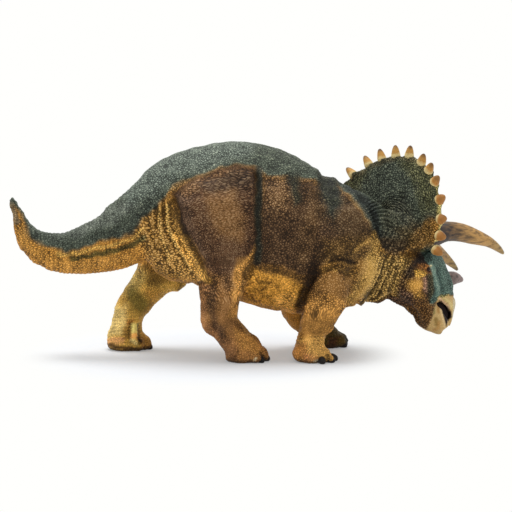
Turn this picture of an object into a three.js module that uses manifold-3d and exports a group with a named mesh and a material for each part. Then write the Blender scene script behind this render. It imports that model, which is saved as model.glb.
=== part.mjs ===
// A toy horned dinosaur, about 20 cm long, moulded in solid soft vinyl as eleven pieces that are plugged
// and glued together: the trunk, the tail, four legs, the head with its neck and frill, the lower jaw,
// two brow horns and the nose horn. It is walking, with its head lowered and turned to its left.
// +X is forward, +Y is the animal's left and +Z is up. Lengths are in millimetres.
import * as THREE from "three";
import { mergeVertices } from "three/addons/utils/BufferGeometryUtils.js";
import Module from "manifold-3d";

const wasm = await Module();
wasm.setup();

// Trunk: from the tail root to the front of the chest, its width, and its height above the ground.
const trunkLength = 102;
const trunkWidth = 52;
const backHeight = 86;

// Tail: how far it reaches back from its root, and how far it sinks and swings left on the way.
const tailLength = 51;
const tailDrop = 12;
const tailSwing = 7;
const tailRootRadius = 14;

// Legs: the radius of the shin and of the forearm, and the toes with their blunt nails.
const shinRadius = 8;
const forearmRadius = 7;
const toeRadius = 3.1;
const nailLength = 5.6;
const nailRadius = 1.9;

// Neck and skull: the muzzle is measured from the middle of the eyes to the tip of the upper beak.
const neckDepth = 34;
const neckWidth = 32;
const muzzleLength = 31;
const skullDepth = 26;
const skullWidth = 22;
const eyeRadius = 1.5;

// How the head is held, in degrees: turned left, nose down, left side down.
const headTurn = 17;
const headNod = 47;
const headRoll = -21.5;

// Frill: a thin shield that leans back over the neck, with blunt spikes along its rim.
const frillRadius = 33.4;
const frillThickness = 3.2;
const frillArch = 5;
const frillLean = 37;
const spikeTurns = [0, 18, 35, 48, 58, 68, 81, 96, 112, 128];
const spikeLength = 4.2;
const spikeRadius = 1.9;

// Horns, each with a root that sinks into the skull.
const browHornLength = 36;
const browHornRadius = 4.6;
const noseHornLength = 8;
const noseHornRadius = 3.1;
const hornRootDepth = 4;

// Fits: the glue gap between two pieces, the square plugs that key them together, and an overrun for cuts.
const glueGap = 0.3;
const plugWidth = 8;
const plugDepth = 7;
const overrun = 4;

// Fineness of the moulded forms.
const trunkSides = 28;
const headSides = 24;
const limbSides = 18;
const hornSides = 12;
const frillSides = 48;
const spikeSides = 7;
const toeSides = 8;
const ringsBetween = 2;
const squareness = 2.2;

// Each row of the next tables is one cross-section, as shares: where its middle lies, along, aside and
// aloft, then its half width, and its reach over and under the middle. On a leg, over means forward.
// Trunk, in trunkLength, trunkWidth and backHeight, from the rump to the chest.
const trunkShares = [
  [0.095, 0, 0.645, 0.356, 0.246, 0.29],
  [0.19, 0, 0.657, 0.423, 0.302, 0.312],
  [0.285, 0, 0.651, 0.471, 0.343, 0.343],
  [0.41, 0, 0.634, 0.5, 0.368, 0.362],
  [0.54, 0, 0.593, 0.51, 0.356, 0.366],
  [0.665, 0, 0.541, 0.49, 0.29, 0.353],
  [0.77, 0, 0.517, 0.462, 0.293, 0.326],
  [0.85, 0, 0.506, 0.423, 0.275, 0.285],
  [0.915, 0, 0.488, 0.365, 0.22, 0.262],
  [0.965, 0, 0.465, 0.27, 0.14, 0.225],
  [1, 0, 0.448, 0.1, 0.041, 0.09],
];
const tailRootShares = [0, 0, 0.623];
// Tail, from its tip, in tailLength, tailSwing and tailDrop from the root, and tailRootRadius.
const tailShares = [
  [1, 0.5, 0.87, 0.086, 0.086, 0.086],
  [0.97, 0.57, 0.62, 0.13, 0.136, 0.136],
  [0.935, 0.64, 0.31, 0.16, 0.17, 0.17],
  [0.9, 0.75, -0.13, 0.23, 0.257, 0.257],
  [0.84, 0.86, -0.53, 0.32, 0.357, 0.357],
  [0.737, 1, -0.84, 0.42, 0.471, 0.471],
  [0.57, 0.93, -0.95, 0.51, 0.51, 0.59],
  [0.38, 0.63, -0.79, 0.62, 0.58, 0.74],
  [0.19, 0.3, -0.48, 0.73, 0.67, 0.91],
  [0, 0.07, 0, 0.9, 0.86, 1.18],
];
// Legs, in the trunk's sizes, and shinRadius or forearmRadius. The last row is the sole.
const hindRightShares = [
  [0.289, -0.23, 0.837, 1, 1.5, 1.5],
  [0.289, -0.288, 0.72, 1.5, 2.12, 2.12],
  [0.304, -0.317, 0.581, 1.44, 2.06, 1.88],
  [0.328, -0.337, 0.442, 1.19, 1.44, 1.38],
  [0.314, -0.337, 0.302, 0.91, 1, 1],
  [0.313, -0.33, 0.203, 0.83, 0.93, 0.95],
  [0.35, -0.325, 0.134, 0.85, 0.9, 0.88],
  [0.39, -0.32, 0.064, 1, 1.03, 0.91],
  [0.41, -0.32, 0, 1.05, 1.1, 1],
];
const hindLeftShares = [
  [0.24, 0.25, 0.72, 1.38, 1.88, 1.88],
  [0.211, 0.298, 0.581, 1.44, 1.88, 1.75],
  [0.156, 0.337, 0.442, 1.19, 1.5, 1.44],
  [0.069, 0.385, 0.32, 1, 1.06, 1.06],
  [0.007, 0.41, 0.227, 0.85, 0.88, 0.88],
  [-0.013, 0.41, 0.145, 0.8, 0.8, 0.78],
  [-0.024, 0.41, 0.07, 0.95, 0.98, 0.98],
  [-0.024, 0.41, 0, 1.08, 1.12, 1.12],
];
const foreRightShares = [
  [0.76, -0.25, 0.674, 1.29, 1.43, 1.43],
  [0.75, -0.327, 0.558, 1.43, 1.71, 1.71],
  [0.725, -0.375, 0.43, 1.26, 1.43, 1.43],
  [0.72, -0.394, 0.314, 1.11, 1.26, 1.2],
  [0.701, -0.394, 0.203, 0.97, 1.06, 1.03],
  [0.678, -0.39, 0.134, 0.89, 0.87, 0.86],
  [0.672, -0.385, 0.07, 1.09, 1.06, 1.06],
  [0.676, -0.385, 0, 1.23, 1.2, 1.2],
];
const foreLeftShares = [
  [0.74, 0.23, 0.581, 1.29, 1.57, 1.57],
  [0.711, 0.288, 0.419, 1.26, 1.43, 1.43],
  [0.672, 0.356, 0.279, 1.14, 1.21, 1.21],
  [0.672, 0.385, 0.18, 1.03, 1.07, 1.07],
  [0.721, 0.39, 0.11, 0.93, 0.86, 0.86],
  [0.77, 0.394, 0.052, 1.07, 0.86, 0.93],
  [0.78, 0.394, 0, 1.2, 1.1, 1.09],
];
// Neck, in the trunk's sizes, and neckWidth and neckDepth.
const neckShares = [
  [0.87, 0.02, 0.52, 0.36, 0.36, 0.5],
  [0.95, 0.06, 0.52, 0.46, 0.43, 0.68],
  [1.02, 0.12, 0.48, 0.44, 0.4, 0.66],
  [1.08, 0.18, 0.44, 0.36, 0.32, 0.58],
];
// Skull and lower jaw, from the middle of the eyes, in muzzleLength, skullWidth and skullDepth.
const skullShares = [
  [-0.39, 0, -0.12, 0.56, 0.55, 0.7],
  [-0.13, 0, -0.08, 0.55, 0.58, 0.75],
  [0.13, 0, -0.08, 0.48, 0.59, 0.7],
  [0.39, 0, -0.04, 0.37, 0.48, 0.58],
  [0.58, 0, -0.02, 0.29, 0.38, 0.21],
  [0.76, 0, 0, 0.23, 0.22, 0.14],
  [0.88, 0, -0.06, 0.17, 0.12, 0.13],
  [0.97, 0, -0.22, 0.07, 0.07, 0.09],
];
const jawShares = [
  [0.16, 0, -0.46, 0.33, 0.17, 0.18],
  [0.42, 0, -0.47, 0.3, 0.17, 0.18],
  [0.61, 0, -0.47, 0.25, 0.16, 0.165],
  [0.77, 0, -0.45, 0.2, 0.155, 0.165],
  [0.89, 0, -0.425, 0.14, 0.125, 0.13],
  [0.95, 0, -0.405, 0.06, 0.06, 0.1],
];
// Places: the eyes' middle in the trunk's sizes, and the rest in the skull's.
const eyeMiddleShares = [1.108, 0.225, 0.416];
const eyeShares = [0.13, 0.42, -0.09];
const frillMiddleShares = [-0.445, 0, 0.304];
const browHornShares = [-0.1, 0.32, 0.29];
const noseHornShares = [0.62, 0, 0.36];
const mouthShares = [0.79, 0, -0.23];
const mouthReachShares = [0.2, 1, 0.07];
const neckPlugShares = [0.965, 0.06, 0.49];
const hindRightPlugShares = [0.328, -0.37, 0.442];
const hindLeftPlugShares = [0.156, 0.37, 0.442];
const foreRightPlugShares = [0.725, -0.37, 0.43];
const foreLeftPlugShares = [0.711, 0.37, 0.419];

// The frill's reach in frillRadius, in even turns from its top round to its bottom.
const frillReachShares = [0.84, 0.87, 0.96, 1, 0.92, 0.8, 0.72, 0.66, 0.5, 0.45];
// The frill's section, from the middle of its front over the rim to its back: reach and depth.
const frillBladeShares = [
  [0.02, 0.5],
  [0.6, 0.38],
  [0.85, 0.28],
  [0.97, 0.22],
  [1, 0],
  [0.97, -0.22],
  [0.85, -0.28],
  [0.6, -0.38],
  [0.02, -0.5],
];
// A spike's profile, from its root to its tip: share of its radius and of its length.
const spikeShares = [
  [0, -0.4],
  [1, -0.4],
  [0.95, 0.35],
  [0.6, 0.8],
  [0, 1],
];
// The horns' middle lines and thickness: forward, outward and upward in the length, then the radius.
const browCurveShares = [
  [0, 0, 0, 1],
  [0.05, 0.025, 0.14, 0.97],
  [0.128, 0.056, 0.278, 0.9],
  [0.269, 0.111, 0.391, 0.82],
  [0.385, 0.147, 0.45, 0.73],
  [0.568, 0.189, 0.543, 0.48],
  [0.72, 0.2, 0.585, 0.3],
  [0.81, 0.2, 0.595, 0.13],
];
const noseCurveShares = [
  [0, 0, 0, 1],
  [0.2, 0, 0.3, 0.9],
  [0.42, 0, 0.53, 0.65],
  [0.66, 0, 0.72, 0.3],
];
// Toes, in toeRadius: how far the knuckle is set in from the sole's edge and above the ground, how far the
// nail's middle is ahead of it, and its half length, width and height. Nails are in nailRadius.
const knuckleInShare = 0.85;
const knuckleRiseShare = 0.8;
const knuckleShares = [1.35, 1, 1.2];
const nailAheadShare = 0.6;
const nailRiseShare = 0.85;
const nailHeightShare = 1.15;
// Toes: degrees to either side of forward.
const hindToeTurns = [-58, -20, 20, 58];
const foreToeTurns = [-42, 0, 42];

const forward = new THREE.Vector3(1, 0, 0);
const left = new THREE.Vector3(0, 1, 0);
const up = new THREE.Vector3(0, 0, 1);
const degree = Math.PI / 180;

const greenSkin = new THREE.MeshStandardMaterial({ color: 0x3d4a40, roughness: 0.7 });
const tanSkin = new THREE.MeshStandardMaterial({ color: 0x9a6a34, roughness: 0.7 });
const horn = new THREE.MeshStandardMaterial({ color: 0xb88c58, roughness: 0.5 });

// A closed geometry as a solid, and a solid as a named mesh.
function solidOf(geometry) {
  const bare = new THREE.BufferGeometry();
  bare.setAttribute("position", geometry.getAttribute("position"));
  bare.setIndex(geometry.index);
  const merged = mergeVertices(bare);
  return new wasm.Manifold(
    new wasm.Mesh({
      numProp: 3,
      vertProperties: merged.attributes.position.array,
      triVerts: new Uint32Array(merged.index.array),
    }),
  );
}

function meshOf(solid, name, material) {
  const { vertProperties, triVerts } = solid.getMesh();
  const geometry = new THREE.BufferGeometry();
  geometry.setAttribute("position", new THREE.BufferAttribute(vertProperties, 3));
  geometry.setIndex(new THREE.BufferAttribute(triVerts, 1));
  geometry.computeVertexNormals();
  const mesh = new THREE.Mesh(geometry, material);
  mesh.name = name;
  return mesh;
}

// Joins rings of points, all of one count, into a closed skin with a flat fan at each end.
function skinOf(rings) {
  const count = rings[0].length;
  const points = rings.flat();
  const fan = points.length;
  const last = fan - count;
  for (const end of [rings[0], rings.at(-1)]) {
    points.push(end.reduce((sum, p) => sum.add(p), new THREE.Vector3()).divideScalar(count));
  }
  const index = [];
  for (let k = 0; k < count; k++) {
    const next = (k + 1) % count;
    for (let start = 0; start < last; start += count) {
      const [a, b] = [start + k, start + next];
      index.push(a, b, b + count, a, b + count, a + count);
    }
    index.push(fan, next, k, fan + 1, last + k, last + next);
  }
  const geometry = new THREE.BufferGeometry().setFromPoints(points);
  geometry.setIndex(index);
  return geometry;
}

// A smooth form through sections, each { at, half, over, under }. Grow swells it all round, which
// makes the hollow that it fits in.
function loft(sections, sides, grow = 0) {
  const path = new THREE.CatmullRomCurve3(sections.map((s) => s.at));
  const widths = new THREE.CatmullRomCurve3(
    sections.map((s) => new THREE.Vector3(s.half, s.over, s.under)),
  );
  const steps = (sections.length - 1) * ringsBetween;
  const bow = (v) => Math.sign(v) * Math.abs(v) ** (2 / squareness);
  const rings = [];
  for (let i = 0; i <= steps; i++) {
    const tangent = path.getTangent(i / steps);
    const across = left.clone().addScaledVector(tangent, -left.dot(tangent)).normalize();
    const over = tangent.clone().cross(across);
    const width = widths.getPoint(i / steps).addScalar(grow);
    const beyond = i === 0 ? -grow : i === steps ? grow : 0;
    const middle = path.getPoint(i / steps).addScaledVector(tangent, beyond);
    const ring = [];
    for (let k = 0; k < sides; k++) {
      const angle = (2 * Math.PI * k) / sides;
      const [c, s] = [Math.cos(angle), Math.sin(angle)];
      const point = middle.clone().addScaledVector(across, width.x * bow(c));
      ring.push(point.addScaledVector(over, (s > 0 ? width.y : width.z) * bow(s)));
    }
    rings.push(ring);
  }
  return solidOf(skinOf(rings));
}

function placed(geometry, at, turn, size = new THREE.Vector3(1, 1, 1)) {
  return solidOf(geometry.applyMatrix4(new THREE.Matrix4().compose(at, turn, size)));
}

function ball(radii, at, turn = new THREE.Quaternion()) {
  return placed(new THREE.SphereGeometry(1, toeSides, toeSides - 2), at, turn, radii);
}

function box(size, at, turn = new THREE.Quaternion()) {
  return placed(new THREE.BoxGeometry(size.x, size.y, size.z), at, turn);
}

// The square plug that keys two pieces, half of it in each. Grown by the glue gap, it is the socket.
function plug(at, direction, grow = 0) {
  const size = new THREE.Vector3(2 * plugDepth, plugWidth, plugWidth).addScalar(2 * grow);
  return box(size, at, new THREE.Quaternion().setFromUnitVectors(forward, direction));
}

function bodyPlace([along, aside, aloft]) {
  return new THREE.Vector3(along * trunkLength, aside * trunkWidth, aloft * backHeight);
}

function bodySection(row, wide, deep) {
  return { at: bodyPlace(row), half: row[3] * wide, over: row[4] * deep, under: row[5] * deep };
}

// Tail and trunk: one smooth form, parted square across at the tail root.
const tailRoot = bodyPlace(tailRootShares);
const spineSections = tailShares
  .map(([along, aside, aloft, half, over, under]) => ({
    at: new THREE.Vector3(-along * tailLength, aside * tailSwing, aloft * tailDrop).add(tailRoot),
    half: half * tailRootRadius,
    over: over * tailRootRadius,
    under: under * tailRootRadius,
  }))
  .concat(trunkShares.map((row) => bodySection(row, trunkWidth, backHeight)));
const spine = loft(spineSections, trunkSides);
const spineHollow = loft(spineSections, trunkSides, glueGap);
const farReach = trunkLength + tailLength + backHeight;

function behindRoot(gap) {
  const size = new THREE.Vector3(farReach, farReach, farReach);
  return box(size, new THREE.Vector3(-farReach / 2 + gap, 0, 0));
}

const tail = spine.intersect(behindRoot(-glueGap / 2)).add(plug(tailRoot, forward));
let trunk = spine.subtract(behindRoot(glueGap / 2)).subtract(plug(tailRoot, forward, glueGap));

// Legs: each is hollowed to sit on the trunk's side, and cut flat where it stands on the ground.
const belowGround = box(
  new THREE.Vector3(farReach * 2, farReach * 2, farReach),
  new THREE.Vector3(0, 0, -farReach / 2),
);

// A toe runs out under the foot's front, with its blunt nail at the end of it.
function toe(sole, turn) {
  const heading = new THREE.Quaternion().setFromAxisAngle(up, turn * degree);
  const aim = forward.clone().applyQuaternion(heading);
  const soleEdge = 1 / Math.hypot(aim.x / sole.over, aim.y / sole.half);
  const reach = soleEdge - knuckleInShare * toeRadius;
  const knuckle = sole.at.clone().addScaledVector(aim, reach).setZ(knuckleRiseShare * toeRadius);
  const nailAt = knuckle.clone().addScaledVector(aim, nailAheadShare * toeRadius);
  nailAt.z = nailRiseShare * nailRadius;
  const toeRadii = new THREE.Vector3(...knuckleShares).multiplyScalar(toeRadius);
  const nailRadii = new THREE.Vector3(nailLength / 2, nailRadius, nailHeightShare * nailRadius);
  return ball(toeRadii, knuckle, heading).add(ball(nailRadii, nailAt, heading));
}

function legForm(shares, radius, toeTurns) {
  const sections = shares.map((row) => bodySection(row, radius, radius));
  const sole = sections.at(-1);
  sections.push({ ...sole, at: sole.at.clone().setZ(-overrun) });
  const toes = toeTurns.map((turn) => toe(sole, turn));
  return toes.reduce((form, next) => form.add(next), loft(sections, limbSides));
}

const legs = [
  ["hind_leg_right", hindRightShares, hindRightPlugShares, shinRadius, hindToeTurns],
  ["hind_leg_left", hindLeftShares, hindLeftPlugShares, shinRadius, hindToeTurns],
  ["fore_leg_right", foreRightShares, foreRightPlugShares, forearmRadius, foreToeTurns],
  ["fore_leg_left", foreLeftShares, foreLeftPlugShares, forearmRadius, foreToeTurns],
].map(([name, shares, plugShares, radius, toeTurns]) => {
  const form = legForm(shares, radius, toeTurns);
  const at = bodyPlace(plugShares);
  trunk = trunk.subtract(plug(at, left, glueGap));
  const leg = form.subtract(spineHollow).subtract(belowGround);
  return meshOf(leg.add(plug(at, left).intersect(form)), name, tanSkin);
});

// Head, in its own frame: the middle of the eyes is the origin, and the beak points along +X.
const headAt = bodyPlace(eyeMiddleShares);
const headPose = new THREE.Quaternion().setFromEuler(
  new THREE.Euler(headRoll * degree, headNod * degree, headTurn * degree, "ZYX"),
);
const toHead = new THREE.Matrix4()
  .compose(headAt, headPose, new THREE.Vector3(1, 1, 1))
  .invert().elements;

function headPlace([along, aside, aloft], side = 1) {
  return new THREE.Vector3(along * muzzleLength, side * aside * skullWidth, aloft * skullDepth);
}

function headSection(row) {
  return {
    at: headPlace(row),
    half: row[3] * skullWidth,
    over: row[4] * skullDepth,
    under: row[5] * skullDepth,
  };
}

// Frill: its plane leans back, and its sides sag away from that plane.
const frillMiddle = headPlace(frillMiddleShares);
const frillUp = up.clone().applyAxisAngle(left, (frillLean - 90) * degree);
const frillOut = up.clone().applyAxisAngle(left, frillLean * degree);

function frillPoint(turn, share, depth = 0) {
  const lastShare = frillReachShares.length - 1;
  const step = (Math.abs(turn) / 180) * lastShare;
  const low = Math.min(Math.floor(step), lastShare - 1);
  const rim = THREE.MathUtils.lerp(frillReachShares[low], frillReachShares[low + 1], step - low);
  const reach = rim * frillRadius * share;
  const aside = Math.sin(turn * degree) * reach;
  return frillMiddle
    .clone()
    .addScaledVector(frillUp, Math.cos(turn * degree) * reach)
    .addScaledVector(left, aside)
    .addScaledVector(frillOut, depth * frillThickness - frillArch * (aside / frillRadius) ** 2);
}

function frill() {
  const rings = frillBladeShares.map(([share, depth]) => {
    const turns = Array.from({ length: frillSides }, (_, k) => (360 * k) / frillSides - 180);
    return turns.map((turn) => frillPoint(turn, share, depth));
  });
  return solidOf(skinOf(rings));
}

function spike(turn) {
  const profile = spikeShares.map(
    ([wide, long]) => new THREE.Vector2(wide * spikeRadius, long * spikeLength),
  );
  const out = frillPoint(turn, 1).sub(frillPoint(turn, 0.8)).normalize();
  const heading = new THREE.Quaternion().setFromUnitVectors(left, out);
  return placed(new THREE.LatheGeometry(profile, spikeSides), frillPoint(turn, 1), heading);
}

// A horn, with its root sunk in the skull.
function hornForm(curveShares, foot, side, length, radius, grow = 0) {
  const sections = curveShares.map(([ahead, outward, upward, thick]) => ({
    at: new THREE.Vector3(ahead, side * outward, upward).multiplyScalar(length).add(foot),
    half: thick * radius,
    over: thick * radius,
    under: thick * radius,
  }));
  const sink = sections[0].at.clone().sub(sections[1].at).setLength(hornRootDepth);
  sections.unshift({ ...sections[0], at: sink.add(foot) });
  return loft(sections, hornSides, grow);
}

const horns = {
  brow_horn_right: (grow) =>
    hornForm(browCurveShares, headPlace(browHornShares, -1), -1, browHornLength, browHornRadius, grow),
  brow_horn_left: (grow) =>
    hornForm(browCurveShares, headPlace(browHornShares), 1, browHornLength, browHornRadius, grow),
  nose_horn: (grow) =>
    hornForm(noseCurveShares, headPlace(noseHornShares), 1, noseHornLength, noseHornRadius, grow),
};

// The open mouth, a leaf-shaped gap right through between the two beaks.
const [mouthLong, mouthWide, mouthDeep] = mouthReachShares;
const mouth = ball(
  new THREE.Vector3(mouthLong * muzzleLength, mouthWide * skullWidth, mouthDeep * skullDepth),
  headPlace(mouthShares),
);
const jawForm = (grow) => loft(jawShares.map(headSection), limbSides, grow);
const neckSections = neckShares.map((row) => bodySection(row, neckWidth, neckDepth));
const neckAim = neckSections[1].at.clone().sub(neckSections[0].at).normalize();
const neckPlugAt = bodyPlace(neckPlugShares);
trunk = trunk.subtract(plug(neckPlugAt, neckAim, glueGap));

let head = loft(skullShares.map(headSection), headSides)
  .add(loft(neckSections, trunkSides).transform(toHead))
  .add(frill());
for (const side of [-1, 1]) {
  head = head.add(ball(new THREE.Vector3(eyeRadius, eyeRadius, eyeRadius), headPlace(eyeShares, side)));
  for (const turn of spikeTurns) head = head.add(spike(side * turn));
}
head = head
  .subtract(mouth)
  .subtract(jawForm(glueGap))
  .subtract(spineHollow.transform(toHead))
  .add(plug(neckPlugAt, neckAim).transform(toHead));

const headGroup = new THREE.Group();
headGroup.position.copy(headAt);
headGroup.quaternion.copy(headPose);
for (const [name, form] of Object.entries(horns)) {
  head = head.subtract(form(glueGap));
  headGroup.add(meshOf(form(0), name, horn));
}
headGroup.add(meshOf(head, "head", greenSkin));
headGroup.add(meshOf(jawForm(0).subtract(mouth), "lower_jaw", horn));

// The origin is on the ground, under the middle of the figure.
const figure = new THREE.Group();
figure.add(meshOf(trunk, "trunk", tanSkin), meshOf(tail, "tail", greenSkin), ...legs, headGroup);
const bounds = new THREE.Box3().setFromObject(figure, true);
const middle = bounds.getCenter(new THREE.Vector3());
figure.position.set(-middle.x, -middle.y, -bounds.min.z);

export default figure;
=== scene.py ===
"""A toy horned dinosaur in soft vinyl, painted by hand, walking on a white table."""

import math

import bmesh
import bpy
import numpy as np
from mathutils import Euler, Matrix, Vector
from mathutils.bvhtree import BVHTree


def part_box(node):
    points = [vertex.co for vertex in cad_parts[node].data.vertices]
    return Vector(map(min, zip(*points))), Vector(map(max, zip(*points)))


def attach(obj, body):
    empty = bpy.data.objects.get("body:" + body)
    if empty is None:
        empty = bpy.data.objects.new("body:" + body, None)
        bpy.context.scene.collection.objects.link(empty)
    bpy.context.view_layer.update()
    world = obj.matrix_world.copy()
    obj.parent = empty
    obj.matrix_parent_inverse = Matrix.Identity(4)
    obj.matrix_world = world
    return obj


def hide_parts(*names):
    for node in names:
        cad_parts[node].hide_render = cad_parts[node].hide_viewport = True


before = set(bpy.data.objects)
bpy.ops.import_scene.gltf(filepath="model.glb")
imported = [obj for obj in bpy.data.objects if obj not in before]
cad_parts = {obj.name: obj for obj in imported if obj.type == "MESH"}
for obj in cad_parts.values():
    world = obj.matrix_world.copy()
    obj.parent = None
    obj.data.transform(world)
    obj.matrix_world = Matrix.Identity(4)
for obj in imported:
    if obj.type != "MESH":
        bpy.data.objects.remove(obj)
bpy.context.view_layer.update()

# Table, room and lamp. The figure stands on a matt white table in a white room, under one wide soft
# lamp. The camera looks at its right side, a little from above. Lengths in this file are millimetres.
MM = 0.001
view_turn = math.radians(-6)
view_rise = math.radians(6)
view_reach = 1000
view_nearest = 100
view_middle = np.array([-2.516, -8.17, 40.1])
photo_side = 512
photo_pitch = 0.402
view_back = np.array(
    [
        math.sin(view_turn) * math.cos(view_rise),
        -math.cos(view_turn) * math.cos(view_rise),
        math.sin(view_rise),
    ]
)
view_right = np.array([math.cos(view_turn), math.sin(view_turn), 0])
view_up = np.cross(view_back, view_right)
camera_at = view_middle + view_reach * view_back

scene = bpy.context.scene
scene.view_settings.view_transform = "Standard"
camera = bpy.data.objects.new("camera", bpy.data.cameras.new("camera"))
camera.data.lens = camera.data.sensor_width / 2 * view_reach / (photo_side / 2 * photo_pitch)
camera.data.clip_start = view_nearest * MM
camera_axes = np.eye(4)
camera_axes[:3, 0] = view_right
camera_axes[:3, 1] = view_up
camera_axes[:3, 2] = view_back
camera_axes[:3, 3] = camera_at * MM
camera.matrix_world = Matrix(camera_axes)
scene.collection.objects.link(camera)
scene.camera = camera


class Wire:
    """A socket of a node tree. Arithmetic on it adds the Math node that does it."""

    def __init__(self, tree, socket):
        self.tree = tree
        self.socket = socket

    def math(self, operation, *values):
        return self.tree.node("ShaderNodeMath", {"operation": operation}, *values)

    def __add__(self, other):
        return self.math("ADD", self, other)

    def __sub__(self, other):
        return self.math("SUBTRACT", self, other)

    def __mul__(self, other):
        return self.math("MULTIPLY", self, other)

    def __rsub__(self, other):
        return self.math("SUBTRACT", other, self)

    def __getitem__(self, name):
        return Wire(self.tree, self.socket.node.outputs[name])

    def most(self, other):
        return self.math("MAXIMUM", self, other)

    def rising(self, low, high, top=1.0):
        """0 below low and top above high, straight between them."""
        return self.tree.node("ShaderNodeMapRange", None, self, low, high, 0.0, top)

    def scaled(self, times):
        return self.tree.node("ShaderNodeVectorMath", {"operation": "SCALE"}, self, Scale=times)

    __radd__ = __add__
    __rmul__ = __mul__


class Tree:
    """The nodes of a material, a world or a modifier."""

    def __init__(self, nodes_of):
        self.nodes = nodes_of

    def node(self, kind, settings=None, *values, **sockets):
        """Adds a node: its type, its settings, then the values or links of its sockets."""
        made = self.nodes.nodes.new(kind)
        for key, value in (settings or {}).items():
            setattr(made, key, value)
        named = {key.replace("_", " "): value for key, value in sockets.items()}
        for key, value in [*enumerate(values), *named.items()]:
            if isinstance(value, Wire):
                self.nodes.links.new(value.socket, made.inputs[key])
            else:
                made.inputs[key].default_value = value
        shown = [s for s in made.outputs if s.enabled]
        return Wire(self, shown[0]) if shown else made

    def blend(self, mask, a, b):
        """Colour a where the mask is 0 and b where it is 1."""
        mixed = self.node("ShaderNodeMix", {"data_type": "RGBA"})
        made = mixed.socket.node
        for name, value in (("Factor", mask), ("A", a), ("B", b)):
            ports = [s for s in made.inputs if s.name == name and s.enabled]
            if isinstance(value, Wire):
                self.nodes.links.new(value.socket, ports[0])
            else:
                ports[0].default_value = value
        return Wire(self, [s for s in made.outputs if s.enabled][0])


def rgb(code):
    """A colour written as six hex digits, as the shader wants it."""
    shares = [int(code[k : k + 2], 16) / 255 for k in (0, 2, 4)]
    return (*[s / 12.92 if s <= 0.04045 else ((s + 0.055) / 1.055) ** 2.4 for s in shares], 1)


def seen_rays(tree):
    """1 for the rays that carry a picture of the room: to the camera, off gloss and through glass."""
    path = tree.node("ShaderNodeLightPath")
    return path["Is Camera Ray"].most(path["Is Glossy Ray"]).most(path["Is Transmission Ray"])


def new_paint(name):
    """A material that has no nodes yet, and the tree that takes them."""
    made = bpy.data.materials.new(name)
    made.use_nodes = True
    made.node_tree.nodes.clear()
    return made, Tree(made.node_tree)


def mesh_of(form, name):
    """A finished form as a new mesh."""
    mesh = bpy.data.meshes.new(name)
    form.to_mesh(mesh)
    form.free()
    return mesh


def object_of(mesh, name):
    made = bpy.data.objects.new(name, mesh)
    scene.collection.objects.link(made)
    return made


room_light = 1.0
table_reach = 3000
table_cells = 8
table_white = rgb("f2f2f0")
table_seen = rgb("c1c4c8")
paper_white = rgb("fffffd")
table_glow = 0.25
feet_middle = (-20, -6, 0)
feet_spread = (72, 78, 50)
table_fade = (0.72, 1.12)
lamp_power = 2.6
lamp_width = 380
lamp_at = (-70, 80, 600)

room = bpy.data.worlds.new("room")
room.use_nodes = True
room.node_tree.nodes.clear()
tree = Tree(room.node_tree)
room_lit = tree.node("ShaderNodeBackground", None, Strength=room_light)
room_seen = tree.node("ShaderNodeBackground", None, Color=paper_white)
tree.node(
    "ShaderNodeOutputWorld",
    None,
    tree.node("ShaderNodeMixShader", None, seen_rays(tree), room_lit, room_seen),
)
scene.world = room

lamp = bpy.data.objects.new("lamp", bpy.data.lights.new("lamp", "AREA"))
lamp.data.shape = "DISK"
lamp.data.size = lamp_width * MM
lamp.data.energy = lamp_power
lamp.location = Vector(lamp_at) * MM
lamp.rotation_euler = (Vector((0, 0, 0)) - lamp.location).to_track_quat("-Z", "Y").to_euler()
scene.collection.objects.link(lamp)

table_form = bmesh.new()
bmesh.ops.create_grid(
    table_form, x_segments=table_cells, y_segments=table_cells, size=table_reach * MM
)
table = object_of(mesh_of(table_form, "table"), "table")
table_paper, tree = new_paint("table_paper")
spot = tree.node("ShaderNodeNewGeometry")
away = tree.node("ShaderNodeVectorMath", {"operation": "SUBTRACT"}, spot, Vector(feet_middle) * MM)
away = tree.node("ShaderNodeVectorMath", {"operation": "DIVIDE"}, away, Vector(feet_spread) * MM)
far = tree.node("ShaderNodeVectorMath", {"operation": "LENGTH"}, away)["Value"]
far = tree.node("ShaderNodeMapRange", {"interpolation_type": "SMOOTHSTEP"}, far, *table_fade)
seen = seen_rays(tree)
lit = tree.node("ShaderNodeBsdfDiffuse", None, tree.blend(seen, table_white, table_seen))
glow = tree.node("ShaderNodeEmission", None, paper_white, seen * table_glow)
near_table = tree.node("ShaderNodeAddShader", None, lit, glow)
far_table = tree.node("ShaderNodeEmission", None, paper_white, 1)
tree.node(
    "ShaderNodeOutputMaterial",
    None,
    tree.node("ShaderNodeMixShader", None, seen * far, near_table, far_table),
)
table.data.materials.append(table_paper)

# Hide: the trunk, tail, legs, head and lower jaw. They are lumps of soft vinyl, plugged and glued
# together while warm, so the pebbled hide runs over the joints. Its folds and scales are in the mould.
voxel = 0.46
swell = 0.25
weld_reach = 0.001
lumps = {
    "trunk": "body_skin",
    "tail": "body_skin",
    "head": "body_skin",
    "lower_jaw": "beak",
    "hind_leg_right": "leg_skin",
    "hind_leg_left": "leg_skin",
    "fore_leg_right": "leg_skin",
    "fore_leg_left": "leg_skin",
}


def read(items, key, kind=np.float32):
    """One property of all the points, edges or corners of a mesh, a number or a row for each."""
    first = getattr(items[0], key)
    wide = len(first) if hasattr(first, "__len__") else 1
    flat = np.zeros(len(items) * wide, kind)
    items.foreach_get(key, flat)
    return flat.reshape(-1, wide) if wide > 1 else flat


def points_of(mesh):
    """A mesh's points, in millimetres."""
    return read(mesh.vertices, "co").astype(float) / MM


def set_points(mesh, points):
    mesh.vertices.foreach_set("co", (points * MM).astype(np.float32).ravel())
    mesh.update()


def normals_of(mesh):
    return read(mesh.vertex_normals, "vector").astype(float)


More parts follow.
